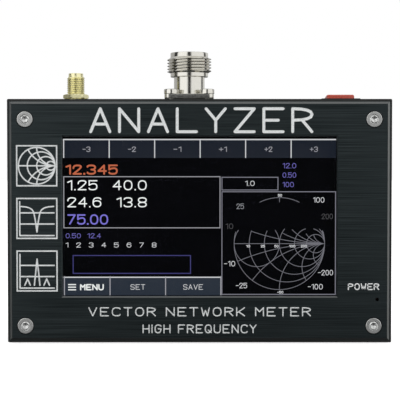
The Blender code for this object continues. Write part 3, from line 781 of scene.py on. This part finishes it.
def window_cutter(material):
    """The window with its bevelled edge; the lower bevel starts higher up and alone takes the paler chamfer
    material, a painted highlight for light from above.
    """
    edge = WINDOW_EDGE
    rings = []
    sections = [(0, SILL, PLATE_HIGH.y + 1), (0, SILL, FACE + edge), (2 * edge, 0.8 * SILL, FACE - edge)]
    for grow, raised, y in sections:
        x, z = WINDOW[0] / 2 + grow, WINDOW[1] / 2 + grow
        low, high = SCREEN.z - z + raised, SCREEN.z + z
        rings.append([(-x, y, low), (x, y, low), (x, y, high), (-x, y, high)])
    bm = bmesh.new()
    add_rings(bm, rings)
    # Painted highlight: only the lower bevel on the face gets the paler chamfer material.
    for face in bm.faces:
        at = face.calc_center_median()
        face.material_index = 1 if abs(at.y - FACE) < 0.01 and at.z < SCREEN.z - WINDOW[1] / 3 else 0
    return new_thing("window_cutter", bm, material, chamfer_painted_sheen())


def chart_circles(resistances, reactances, steps=48):
    """The lines of a Smith chart of radius 1, as runs of points. Each reactance has the resistance at
    which its arc ends, 0 being the outer circle."""
    runs = []
    for r in resistances:
        radius = 1 / (r + 1)
        angles = [2 * pi * i / steps for i in range(steps + 1)]
        runs.append([(1 - radius + radius * cos(a), radius * sin(a)) for a in angles])
    for x, end in reactances:
        radius = 1 / abs(x)
        sign = 1 if x > 0 else -1
        sweep = 2 * atan(abs(x) / (1 + end))  # from the chart's right end
        runs.append([(1 - radius * sin(a), sign * radius * (1 - cos(a)))
                     for a in (sweep * i / (steps // 2) for i in range(steps // 2 + 1))])
    return runs


def add_icon(bm, centre_z, runs, depth):
    """An engraved square with lines in it; the lines' points go from 0 to 1 across the square."""
    x0, z0 = ICON_X - ICON_SIDE / 2, centre_z - ICON_SIDE / 2
    frame_line = [(0, 0), (1, 0), (1, 1), (0, 1)]
    for points, closed in [(frame_line, True)] + [(run, False) for run in runs]:
        loop = closed or (len(points) > 8 and (Vector(points[0]) - Vector(points[-1])).length < 1e-6)
        if loop and not closed:
            points = points[:-1]
        placed = [(x0 + u * ICON_SIDE, z0 + v * ICON_SIDE) for u, v in points]
        add_stroke(bm, placed, ICON_STROKE, *depth, closed=loop)


def smith_icon():
    runs = chart_circles((0, 0.32, 1, 3.2), [(x, 0) for x in (0.6, -0.6, 1, -1)], 36)
    runs = [[(0.5 + 0.46 * x, 0.5 + 0.46 * y) for x, y in run] for run in runs]
    return runs + [[(0.04, 0.5), (0.96, 0.5)]]


def dip_icon():
    """A level line with one even notch."""
    lines = [[(0.07, 0.92), (0.07, 0.07)], [(0.07, 0.07), (0.93, 0.07)]]
    lines += [[(0.07, v), (0.93, v)] for v in (0.36, 0.64)]
    fall = softened([(0.08, 0.80), (0.38, 0.80), (0.46, 0.50), (0.50, 0.16)])
    return lines + [fall, [(1 - x, y) for x, y in fall]]


def peak_icon():
    """Three evenly spaced peaks, the middle one tall."""
    lines = [[(0.07, 0.92), (0.07, 0.07)], [(0.07, 0.07), (0.93, 0.07)]]
    lines += [[(0.07, v), (0.93, v)] for v in (0.36, 0.64)]
    for x, top in ((0.26, 0.30), (0.50, 0.80), (0.74, 0.30)):
        lines += [[(x - 0.07, 0.14), (x, top)], [(x, top), (x + 0.07, 0.14)]]
    return lines


def engraving(material):
    """All engraved marks as one cutter."""
    bm = bmesh.new()
    depth = (FACE - 0.5, FACE + ENGRAVING_DEPTH)
    add_text(bm, "ANALYZER", -38.5, 78.2, TOP - 12.05, 9.05, TITLE_STROKE, depth, 2.0)
    add_text(bm, "VECTOR NETWORK METER", -39.0, 78.0, 9.45, 3.25, TEXT_STROKE, depth, 2.0)
    add_text(bm, "HIGH FREQUENCY", -20.0, 40.0, 3.5, 3.15, TEXT_STROKE, depth, 2.0)
    middle_z = SCREEN.z - 0.2
    for step, icon in ((1, smith_icon), (0, dip_icon), (-1, peak_icon)):
        add_icon(bm, middle_z + step * ICON_PITCH, icon(), depth)
    return new_thing("engraving", bm, material)


def front_plate():
    seat = CASE_LOW.y - 0.02  # it closes the CAD's gap to the case frame
    thing = chamfered_plate("front_plate", PLATE_LOW, PLATE_HIGH, FACE, seat, brushed_black())
    combine(thing, window_cutter(brushed_black()))
    bore = [(LIGHT_BORE_R, -3.0), (LIGHT_BORE_R, 3.0)]
    combine(thing, turned("bore", bore, brushed_black(), (LIGHT.x, FACE, LIGHT.z), 24, toward="Y"))
    combine(thing, engraving(white_paint()), overlapping=True)
    place(thing, nodes=["front_panel"], sharp=25)


def power_label():
    """The one label that is printed and not engraved."""
    bm = bmesh.new()
    add_text(bm, "POWER", 51.9, 11.0, 18.7, 2.4, 0.38, (FACE - 0.02, FACE + 0.01), 1.7)
    place(new_thing("power_label", bm, white_paint()))


# --- screws -----------------------------------------------------------------------------------------


def hexagon(flats, turn=0.0):
    """The radius of a hexagon at an angle, from its width across flats."""

    def radius(angle):
        part = (angle - turn) % (pi / 3) - pi / 6
        return flats / 2 / cos(part)

    return radius


def limited(shape, limit):
    return lambda angle: min(shape(angle), limit)


def case_screw(name, at, toward, turn):
    """A countersunk screw with a hexagon socket and a small rounded rim."""
    length = 8.0
    socket = hexagon(2.0, turn)
    profile = [(0.9, -length), (SHANK_R, -length + 0.5), (SHANK_R, -HEAD_DEPTH), (HEAD_R, -HEAD_FLAT)]
    profile += [(HEAD_R, -0.12), (HEAD_R - 0.05, -0.04), (HEAD_R - 0.16, 0.0), (1.72, 0.0), (1.6, -0.22)]
    profile += [(1.5, -0.24), (hexagon(2.2, turn), -0.06), (socket, -0.16), (socket, -0.6), (0.2, -0.85)]
    body = turned(name + "_body", profile, steel(), at, 72, toward=toward)
    place(body, nodes=[name], sharp=12)


def case_screws():
    turns = (0.3, 0.75, 0.1, 0.5)
    for i, ((x, z), turn) in enumerate(zip(CASE_SCREWS, turns), 1):
        case_screw(f"front_screw_{i}", (x, FACE, z), "-Y", turn)
        case_screw(f"back_screw_{i}", (x, BACK, z), "Y", turn + 0.2)


# --- jacks ------------------------------------------------------------------------------------------


def thread_profile(low, high, crest, depth, pitch):
    """Ridges that lean by half a pitch from side to side, as a right-hand thread looks from the front."""
    turns = int((high - low) / pitch)
    start = (low + high - turns * pitch) / 2
    profile = []
    for k in range(turns):
        for share, sunk in ((0.07, 1.0), (0.42, 0.0), (0.55, 0.0), (0.90, 1.0)):
            z = start + (k + share) * pitch
            lean = pitch / 4 * min(1.0, (z - low) / pitch, (high - z) / pitch)
            profile.append((crest - depth * sunk, lambda angle, z=z, lean=lean: z + lean * cos(angle)))
    return profile


def n_jack():
    nickel_look = nickel()
    n = N_COLLAR_Z
    profile = [(N_REAR_R, N_REAR), (N_REAR_R, FLANGE_Z[0] + 0.4), (N_NECK_R, FLANGE_Z[0] + 0.6)]
    profile += [(N_NECK_R, n[0] - 0.1), (N_NECK_R + 0.1, n[0]), (N_COLLAR_R - 0.1, n[0])]
    profile += [(N_COLLAR_R, n[0] + 0.1), (N_COLLAR_R, n[1] - 0.02)]
    profile += thread_profile(n[1], N_THREAD_END, N_THREAD_R, 0.8, N_PITCH)
    profile += [(N_COLLAR_R, N_THREAD_END + 0.15), (N_COLLAR_R, N_TIP - 0.25)]
    profile += [(N_COLLAR_R - 0.07, N_TIP - 0.07), (N_COLLAR_R - 0.25, N_TIP), (N_BORE_R + 0.5, N_TIP)]
    profile += [(N_BORE_R, N_TIP - 0.5), (N_BORE_R, N_SEAT)]
    body = turned("n_jack_body", profile, nickel_look, N_AXIS, 96)
    low, high = FLANGE_Z
    size = (FLANGE_SIDE, FLANGE_SIDE)
    flange = plate("flange", size, FLANGE_R, soft_edges(low, high, 0.18), nickel_look, N_AXIS)
    # The flange's sides take the darker material: painted shade.
    flange.data.materials.append(flange_side_painted_shade())
    for face in flange.data.polygons:
        face.material_index = 1 if max(abs(face.normal.x), abs(face.normal.y)) > 0.97 else 0
    combine(body, flange, "UNION")
    for i in (1, 2, 3, 4):
        at = middle(f"n_flange_screw_{i}")
        bore = [(1.3, -1.0), (1.3, 5.0)]
        combine(body, turned("bore", bore, nickel_look, (at.x, at.y, TOP), 32))
    place(body, nodes=["n_socket_shell"])


def flange_screws():
    """Four cheese-head screws with a cross recess."""
    for i in (1, 2, 3, 4):
        node = f"n_flange_screw_{i}"
        low, high = box(node)
        at = middle(node)
        base = Vector((at.x, at.y, TOP))
        seat, top = FLANGE_Z[1] + 0.02, high.z - TOP
        profile = [(1.2, low.z - TOP), (1.2, seat), (2.55, seat), (2.6, seat + 0.06), (2.6, top - 0.35)]
        profile += [(2.5, top - 0.15), (2.25, top - 0.04), (1.9, top)]
        head = turned(node + "_body", profile, nickel(), base, 48)
        turn = radians(25 + 35 * i)
        for k in (0, 1):
            bm = bmesh.new()
            add_bar(bm, (-1.35, -0.28, top - 0.7), (1.35, 0.28, top + 1))
            bm.transform(Matrix.Translation(base) @ Matrix.Rotation(turn + k * pi / 2, 4, "Z"))
            combine(head, new_thing("recess", bm, nickel()))
        place(head, nodes=[node])


def n_insides():
    """The white insulator and the slotted gold contact, down in the bore."""
    low, high = box("n_socket_insulator")
    radius = (high.x - low.x) / 2
    profile = [(radius, low.z - TOP), (radius, high.z - TOP - 0.15), (radius - 0.15, high.z - TOP)]
    place(turned("n_insulator_body", profile, ptfe(), N_AXIS, 48), nodes=["n_socket_insulator"])
    low, high = box("n_socket_contact")
    radius = (high.x - low.x) / 2
    top = high.z - TOP
    profile = [(radius, low.z - TOP), (radius, top - 0.2), (radius - 0.2, top), (0.9, top), (0.83, top - 0.1)]
    profile += [(0.83, top - 4.0), (0.3, top - 4.3)]
    contact = turned("n_contact_body", profile, gold(), N_AXIS, 40)
    for k in (0, 1):
        bm = bmesh.new()
        add_bar(bm, (-3, -0.13, top - 3.5), (3, 0.13, top + 1))
        bm.transform(Matrix.Translation(N_AXIS) @ Matrix.Rotation(k * pi / 2 + 0.4, 4, "Z"))
        combine(contact, new_thing("slot", bm, gold()))
    place(contact, nodes=["n_socket_contact"])


def sma_jack():
    gold_look = gold()
    start = 0.9
    root = SMA_THREAD_R - 0.05
    profile = [(root - 0.3, SMA_REAR), (root, SMA_REAR + 0.3), (root, start)]
    profile += thread_profile(start, SMA_TIP - 1.05, SMA_THREAD_R, 0.36, SMA_PITCH)
    profile += [(SMA_TIP_R, SMA_TIP - 0.95), (SMA_TIP_R, SMA_TIP - 0.15), (SMA_TIP_R - 0.15, SMA_TIP)]
    profile += [(SMA_BORE_R + 0.15, SMA_TIP), (SMA_BORE_R, SMA_TIP - 0.15), (SMA_BORE_R, SMA_SEAT)]
    place(turned("sma_jack_body", profile, gold_look, SMA_AXIS, 72), nodes=["sma_socket_shell"])


def sma_nut():
    """A hexagon nut, its corners turned off above and below."""
    low, high = box("sma_hex_nut")
    bottom, top = low.z - TOP, high.z - TOP
    shape = hexagon(NUT_FLATS, NUT_TURN)
    flat = NUT_FLATS / 2
    inner = SMA_THREAD_R + 0.04
    outer = [(flat - 0.05, bottom), (limited(shape, flat + 0.35), bottom + 0.16), (shape, bottom + 0.3)]
    outer += [(shape, top - 0.34), (limited(shape, flat + 0.33), top - 0.18), (flat - 0.05, top)]
    profile = outer + [(inner + 0.3, top), (inner, top - 0.3), (inner, bottom + 0.3), (inner + 0.3, bottom)]
    nut = turned("sma_nut_body", profile, gold(), SMA_AXIS, 96, closed=True)
    place(nut, nodes=["sma_hex_nut"], sharp=24)


# --- power switch -----------------------------------------------------------------------------------


def rocker():
    """The red rocker, at rest with its back end down, with a bar and a ring moulded on its ends."""
    axis = middle("switch_rocker_pin")
    joint = next(j for j in frame["joints"] if j["type"] == "hinge")
    tilt = radians(sum(joint["range_deg"]) / 2)
    half, width, edge = 6.0, 9.8, 0.55
    shoulder, peak, round_r = 2.15, 2.45, 0.6

    def crown(x):
        return shoulder + (peak - shoulder) * (1 - (x / half) ** 2)

    arc = [radians(90) * i / 6 for i in range(7)]
    corner = [(half - round_r + round_r * cos(a), shoulder - round_r + round_r * sin(a)) for a in arc]
    outline = [(-half, -1.6), (-1.6, -3.4), (1.6, -3.4), (half, -1.6)] + corner
    outline += [(x, crown(x)) for x in (4.2, 2.8, 1.4, 0, -1.4, -2.8, -4.2)]
    outline += [(-x, z) for x, z in reversed(corner)]
    rings = []
    for inset, y in soft_edges(-width / 2, width / 2, edge, 5):
        shrink = 1 - inset / half
        rings.append([(x * shrink, y, z - inset * (1 if z > 0 else -1)) for x, z in outline])
    bm = bmesh.new()
    add_rings(bm, rings)
    seat = Matrix.Translation(axis) @ Matrix.Rotation(pi / 2, 4, "Z") @ Matrix.Rotation(tilt, 4, "Y")
    bm.transform(seat)
    body = new_thing("rocker_body", bm, red_plastic())
    bore = [(0.75, -10.0), (0.75, 10.0)]
    combine(body, turned("bore", bore, red_plastic(), axis, 32, toward="X"))
    place(body, "rocker", ["switch_rocker"], sharp=35)
    marks = bmesh.new()
    add_stroke(marks, [(-3.9, -1.1), (-3.9, 1.1)], 0.42, 0, 0.14)
    ring = [(3.7 + 0.9 * cos(a), 0.9 * sin(a)) for a in (2 * pi * i / 24 for i in range(24))]
    add_stroke(marks, ring, 0.4, 0, 0.14, closed=True)
    for vert in marks.verts:
        x, up, across = vert.co
        vert.co = (x, across, crown(x) - 0.09 + up)
    marks.transform(seat)
    place(new_thing("rocker_marks", marks, white_paint()), "rocker")


# --- display ----------------------------------------------------------------------------------------

PALETTE = {
    "white": (0.84, 0.87, 0.86, 1.0),
    "bright": (0.62, 0.63, 0.65, 1.0),
    "line": (0.33, 0.33, 0.36, 1.0),
    "edge": (0.20, 0.20, 0.24, 1.0),
    "grid": (0.16, 0.16, 0.185, 1.0),
    "dim": (0.06, 0.06, 0.065, 1.0),
    "label": (0.26, 0.27, 0.29, 1.0),
    "orange": (0.50, 0.125, 0.058, 1.0),
    "violet": (0.19, 0.165, 0.62, 1.0),
    "dusk": (0.14, 0.125, 0.42, 1.0),
    "blue": (0.045, 0.043, 0.17, 1.0),
    "button": (0.008, 0.0115, 0.020, 1.0),
    "slate": (0.019, 0.027, 0.041, 1.0),
}
LAYER = 0.012  # thickness of one layer of the picture


class Picture:
    """Collects the screen's fields, lines and words, one mesh for each colour."""

    def __init__(self):
        self.meshes = {}

    def mesh(self, colour):
        return self.meshes.setdefault(colour, bmesh.new())

    def at(self, u, v):
        """Display dots, counted from the top left, to a place in the frame."""
        return PICTURE.x + (u - DOTS[0] / 2) * DOT, PICTURE.z + (DOTS[1] / 2 - v) * DOT_HEIGHT

    def depth(self, layer):
        return PICTURE.y - LAYER * (layer + 1), PICTURE.y - LAYER * 0.1

    def field(self, colour, left, top, right, bottom, layer=0):
        x0, z1 = self.at(left, top)
        x1, z0 = self.at(right, bottom)
        y0, y1 = self.depth(layer)
        add_bar(self.mesh(colour), (x0, y0, z0), (x1, y1, z1))

    def row(self, colour, left, right, v, thick=1.6):
        self.field(colour, left, v - thick / 2, right, v + thick / 2, 1)

    def column(self, colour, u, top, bottom, thick=1.8):
        self.field(colour, u - thick / 2, top, u + thick / 2, bottom, 2)

    def frame(self, colour, left, top, right, bottom, thick=1.5):
        corners = [self.at(left, top), self.at(right, top), self.at(right, bottom), self.at(left, bottom)]
        add_stroke(self.mesh(colour), corners, thick * DOT, *self.depth(1), closed=True)

    def line(self, colour, points, thick=1.05, layer=1):
        placed = [self.at(u, v) for u, v in points]
        add_stroke(self.mesh(colour), placed, thick * DOT, *self.depth(layer), round_ends=False)

    def words(self, colour, text, left, top, width, cap, stroke=1.05):
        x, base = self.at(left, top + cap)
        add_text(self.mesh(colour), text, x, width * DOT, base, cap * DOT_HEIGHT, stroke * DOT, self.depth(3))

    def show(self):
        for colour, bm in self.meshes.items():
            place(new_thing("screen_" + colour, bm, lit(colour, *PALETTE[colour])), sharp=60)


def step_buttons(picture):
    """The row of step buttons along the top."""
    picture.field("button", 0, 3, 480, 34)
    picture.row("bright", 0, 480, 2.3, 2.2)
    for i, text in enumerate(("-3", "-2", "-1", "+1", "+2", "+3")):
        picture.column("bright", 1 + 80 * i, 1.2, 34)
        picture.words("line", text, 34 + 80 * i, 14.5, 14, 9.2, 1.3)


def readings(picture):
    """Plain numbers: one large one in orange, then a framed group, then two small rows."""
    picture.words("orange", "12.345", 4, 45.5, 92, 17.5, 3.0)
    picture.frame("line", 0.9, 66.5, 276, 155)
    picture.words("white", "1.25  40.0", 7, 72.5, 140, 17.5, 2.1)
    picture.words("white", "24.6  13.8", 7, 102, 140, 17.5, 2.1)
    picture.words("violet", "75.00", 7, 131.5, 72, 18, 2.6)
    picture.words("dusk", "0.50  12.4", 4, 164.5, 62, 8.6)
    picture.words("bright", "1  2  3  4  5  6  7  8", 4, 180.5, 160, 8.6)
    picture.frame("blue", 17, 203, 224, 234, 1.7)


def bottom_buttons(picture):
    picture.field("slate", 0, 242, 278, 272)
    picture.row("bright", 0, 278, 240.8, 2.0)
    for u in (1.5, 82, 180, 277.5):
        picture.column("line", u, 239, 272)
    for v in (253.5, 258, 262.5):
        picture.field("white", 8, v - 1, 22, v + 1, 3)
    picture.words("white", "MENU", 29, 252.5, 42, 11, 2.3)
    picture.words("bright", "SET", 118, 253, 26, 9.4)
    picture.words("bright", "SAVE", 211, 253, 35, 9.4)


def status_lines(picture):
    picture.frame("edge", 279.4, 67.5, 378, 89.5)
    picture.words("bright", "1.0", 320, 73.5, 17, 9)
    for text, top, width in (("12.0", 43, 24), ("0.50", 59.2, 24), ("100", 75.6, 20)):
        picture.words("dusk", text, 386, top, width, 9)


def smith_chart(picture):
    """The chart: its upper half is still being drawn, so only the lower part shows."""
    u0, v0, radius = 380.7, 182.4, 79.8
    drawn_from = 156.5
    picture.frame("edge", 279.4, 92.5, 479.5, 270.5)
    upper = ((0.2, 0.2), (0.5, 1.0), (1, 1.2), (2, 2.8), (4, 4))
    lower = [(-x, 0) for x in (0.2, 0.5, 1, 2, 4)]
    runs = chart_circles((0, 0.2, 0.5, 1, 2, 4), (*upper, *lower), 72)
    admittance = [(0.5 * cos(a) - 0.5, 0.5 * sin(a)) for a in (2 * pi * i / 60 for i in range(61))]
    for run in runs + [admittance]:
        points = [(u0 + radius * x, v0 - radius * y) for x, y in run]
        part = []
        for point in points + [None]:
            if point and point[1] >= drawn_from:
                part.append(point)
                continue
            if len(part) > 1:
                picture.line("grid", part)
            part = []
    picture.line("grid", [(u0 - radius, v0), (u0 + radius, v0)])
    top_arc = [radians(90 + a) for a in range(-26, 27, 4)]
    picture.line("grid", [(u0 + radius * cos(a), v0 - radius * sin(a)) for a in top_arc])
    picture.line("grid", [(u0, v0 - radius), (u0, v0 - radius + 8)])
    for colour, text, u, v in (
        ("label", "25", 305, 113), ("bright", "100", 440, 102), ("dim", "200", 455, 130.5),
        ("dim", "10", 286, 147.5), ("bright", "-10", 283, 212.5), ("bright", "-25", 304, 250.5),
        ("bright", "-100", 431, 252.5), ("bright", "-200", 449, 228),
    ):
        picture.words(colour, text, u, v, 6.6 * len(text), 9.4)
    for text, u, v in (
        ("50", 378, 96.5), ("-50", 377, 264.5), ("10", 322, 184.5), ("25", 348, 184.5),
        ("50", 372, 184.5), ("100", 398, 184.5), ("200", 418.5, 184.5),
    ):
        picture.words("bright", text, u, v, 3.6 * len(text), 4.6, 0.9)


def display():
    picture = Picture()
    step_buttons(picture)
    readings(picture)
    bottom_buttons(picture)
    status_lines(picture)
    smith_chart(picture)
    picture.show()


# --- sockets and card -------------------------------------------------------------------------------


def usb_tongues():
    """The plastic tongue with gold contacts inside each USB socket."""
    for name, side in (("data_usb", -1), ("charge_usb", 1)):
        low, high = box(name + "_socket")
        centre = (low + high) / 2
        mouth = low.x if side < 0 else high.x
        length = 5.2
        at = Vector((mouth - side * (0.7 + length / 2), centre.y, centre.z))
        levels = soft_edges(-2.2, 2.2, 0.1, 2)
        tongue = plate(name + "_tongue", (length, 0.7), 0.2, levels, black_plastic(), at)
        place(tongue)
        bm = bmesh.new()
        for i in range(5):
            z = centre.z + (i - 2) * 0.75
            x0, x1 = sorted((mouth - side * 0.9, mouth - side * 4.5))
            add_bar(bm, (x0, centre.y - 0.42, z - 0.17), (x1, centre.y - 0.34, z + 0.17))
        place(new_thing(name + "_contacts", bm, gold()))


def memory_card():
    """A small card with a notch, a finger ridge at its outer end and contacts at its inner end."""
    low, high = box("memory_card")
    x0, x1, z0, z1 = low.x, high.x, low.z, high.z
    y0, y1 = low.y, high.y
    notch = 1.0
    outline = [(x0 + 0.4, z0), (x0, z0 + 0.4), (x0, z1 - 0.4), (x0 + 0.4, z1)]
    outline += [(x1 - 7, z1), (x1 - 7, z1 - notch), (x1 - 5.6, z1 - notch), (x1 - 5.0, z1 - 0.5)]
    outline += [(x1 - 0.5, z1 - 0.5), (x1, z1 - 1.0), (x1, z0 + 0.4), (x1 - 0.4, z0)]
    rings = [[(x, y, z) for x, z in outline] for y in (y0 + 0.25, y1)]
    bm = bmesh.new()
    add_rings(bm, rings)
    card = new_thing("memory_card_body", bm, chip_black())
    bm = bmesh.new()
    add_bar(bm, (x0, y0, z0 + 0.8), (x0 + 0.9, y0 + 0.6, z1 - 0.8))
    combine(card, new_thing("ridge", bm, chip_black()), "UNION")
    place(card, "card", ["memory_card"], sharp=20)
    bm = bmesh.new()
    for i in range(8):
        z = z0 + 1.1 + i * 1.05
        add_bar(bm, (x1 - 4.0, y1 - 0.02, z - 0.38), (x1 - 0.8, y1 + 0.02, z + 0.38))
    place(new_thing("memory_card_contacts", bm, gold()), "card")


# --- stage ------------------------------------------------------------------------------------------


def floor():
    bm = bmesh.new()
    side = 4000.0
    drop = -0.05  # it just clears the case's underside
    corners = [(-side, -side, drop), (side, -side, drop), (side, side, drop), (-side, side, drop)]
    bm.faces.new([bm.verts.new(p) for p in corners])
    made = Look("pale_floor", 0.6)
    made.set("Base Color", made.mix((0.86, 0.86, 0.86), (0.90, 0.90, 0.90), made.noise(300.0)))
    seen = made.node("LightPath").outputs["Is Camera Ray"]
    made.set("Emission Color", (1.0, 1.0, 1.0))
    made.set("Emission Strength", made.node("Math", {0: seen, 1: 0.6}, operation="MULTIPLY").outputs[0])
    thing = new_thing("floor", bm, made.made)
    thing.data.transform(Matrix.Scale(MM, 4))
    thing.visible_glossy = False  # the black face mirrors the dim lower part of the studio instead


# Brightness of the studio round the object. Azimuth 0 is the camera's side and 90 is the right
STUDIO = (
    (-180, 0.55), (-106, 0.55), (-100, 0.02), (-80, 0.02), (-72, 1.3), (-15, 1.3), (-8, 0.03),
    (9, 0.03), (16, 1.1), (100, 1.1), (106, 0.04), (119, 0.04), (125, 0.9), (180, 0.55),
)
OVERHEAD = 1.0


def studio():
    """A soft studio as the world's light: bright fields with narrow dark gaps, and dark round the camera."""
    world = bpy.data.worlds.new("studio")
    bpy.context.scene.world = world
    world.use_nodes = True
    tree = world.node_tree
    tree.nodes.clear()

    def node(kind, inputs=(), **settings):
        return add_node(tree, kind, inputs, **settings)

    direction = node("SeparateXYZ", {0: node("TexCoord").outputs["Generated"]})
    ahead = node("Math", {0: direction.outputs["Y"], 1: -1.0}, operation="MULTIPLY")
    azimuth = node("Math", {0: direction.outputs["X"], 1: ahead.outputs[0]}, operation="ARCTAN2")
    turn = node("MapRange", {"Value": azimuth.outputs[0], "From Min": -pi, "From Max": pi})
    ramp = node("ValToRGB", {"Fac": turn.outputs["Result"]})
    stops = ramp.color_ramp.elements
    for i, (degrees, value) in enumerate(STUDIO):
        position = (degrees + 180) / 360
        stop = stops[i] if i < 2 else stops.new(position)
        stop.position = position
        stop.color = (value, value, value, 1)
    overhead = node("MapRange", {"Value": direction.outputs["Z"], "From Min": 0.55, "From Max": 0.8})
    light = node("Mix", {0: overhead.outputs["Result"]}, data_type="RGBA")
    tree.links.new(ramp.outputs["Color"], light.inputs[6])
    light.inputs[7].default_value = (OVERHEAD, OVERHEAD, OVERHEAD, 1)
    inputs = {"Value": direction.outputs["Z"], "From Min": -0.2, "From Max": 0.0, "To Min": 0.12}
    below = node("MapRange", inputs)
    lit_world = node("Background", {"Color": light.outputs[2], "Strength": below.outputs["Result"]})
    pale = node("Background", {"Color": (1, 1, 1, 1), "Strength": 1.0})
    seen = node("LightPath").outputs["Is Camera Ray"]
    both = node("MixShader", {0: seen, 1: lit_world.outputs[0], 2: pale.outputs[0]})
    out = node("OutputWorld")
    tree.links.new(both.outputs[0], out.inputs["Surface"])
    bpy.context.scene.view_settings.view_transform = "Standard"


def camera():
    data = bpy.data.cameras.new("camera")
    data.sensor_width = SENSOR
    data.lens = SENSOR * CAMERA_DISTANCE / PICTURE_WIDTH
    thing = bpy.data.objects.new("camera", data)
    thing.location = Vector((CAMERA_AIM.x, FACE - CAMERA_DISTANCE, CAMERA_HEIGHT)) * MM
    sight = CAMERA_AIM * MM - thing.location
    thing.rotation_mode = "QUATERNION"
    thing.rotation_quaternion = sight.to_track_quat("-Z", "Y")
    data.clip_start, data.clip_end = 0.01, 20
    bpy.context.scene.collection.objects.link(thing)
    bpy.context.scene.camera = thing


def build():
    dress_frame()
    front_plate()
    power_label()
    case_screws()
    n_jack()
    flange_screws()
    n_insides()
    sma_jack()
    sma_nut()
    rocker()
    display()
    usb_tongues()
    memory_card()
    floor()
    studio()
    camera()


build()
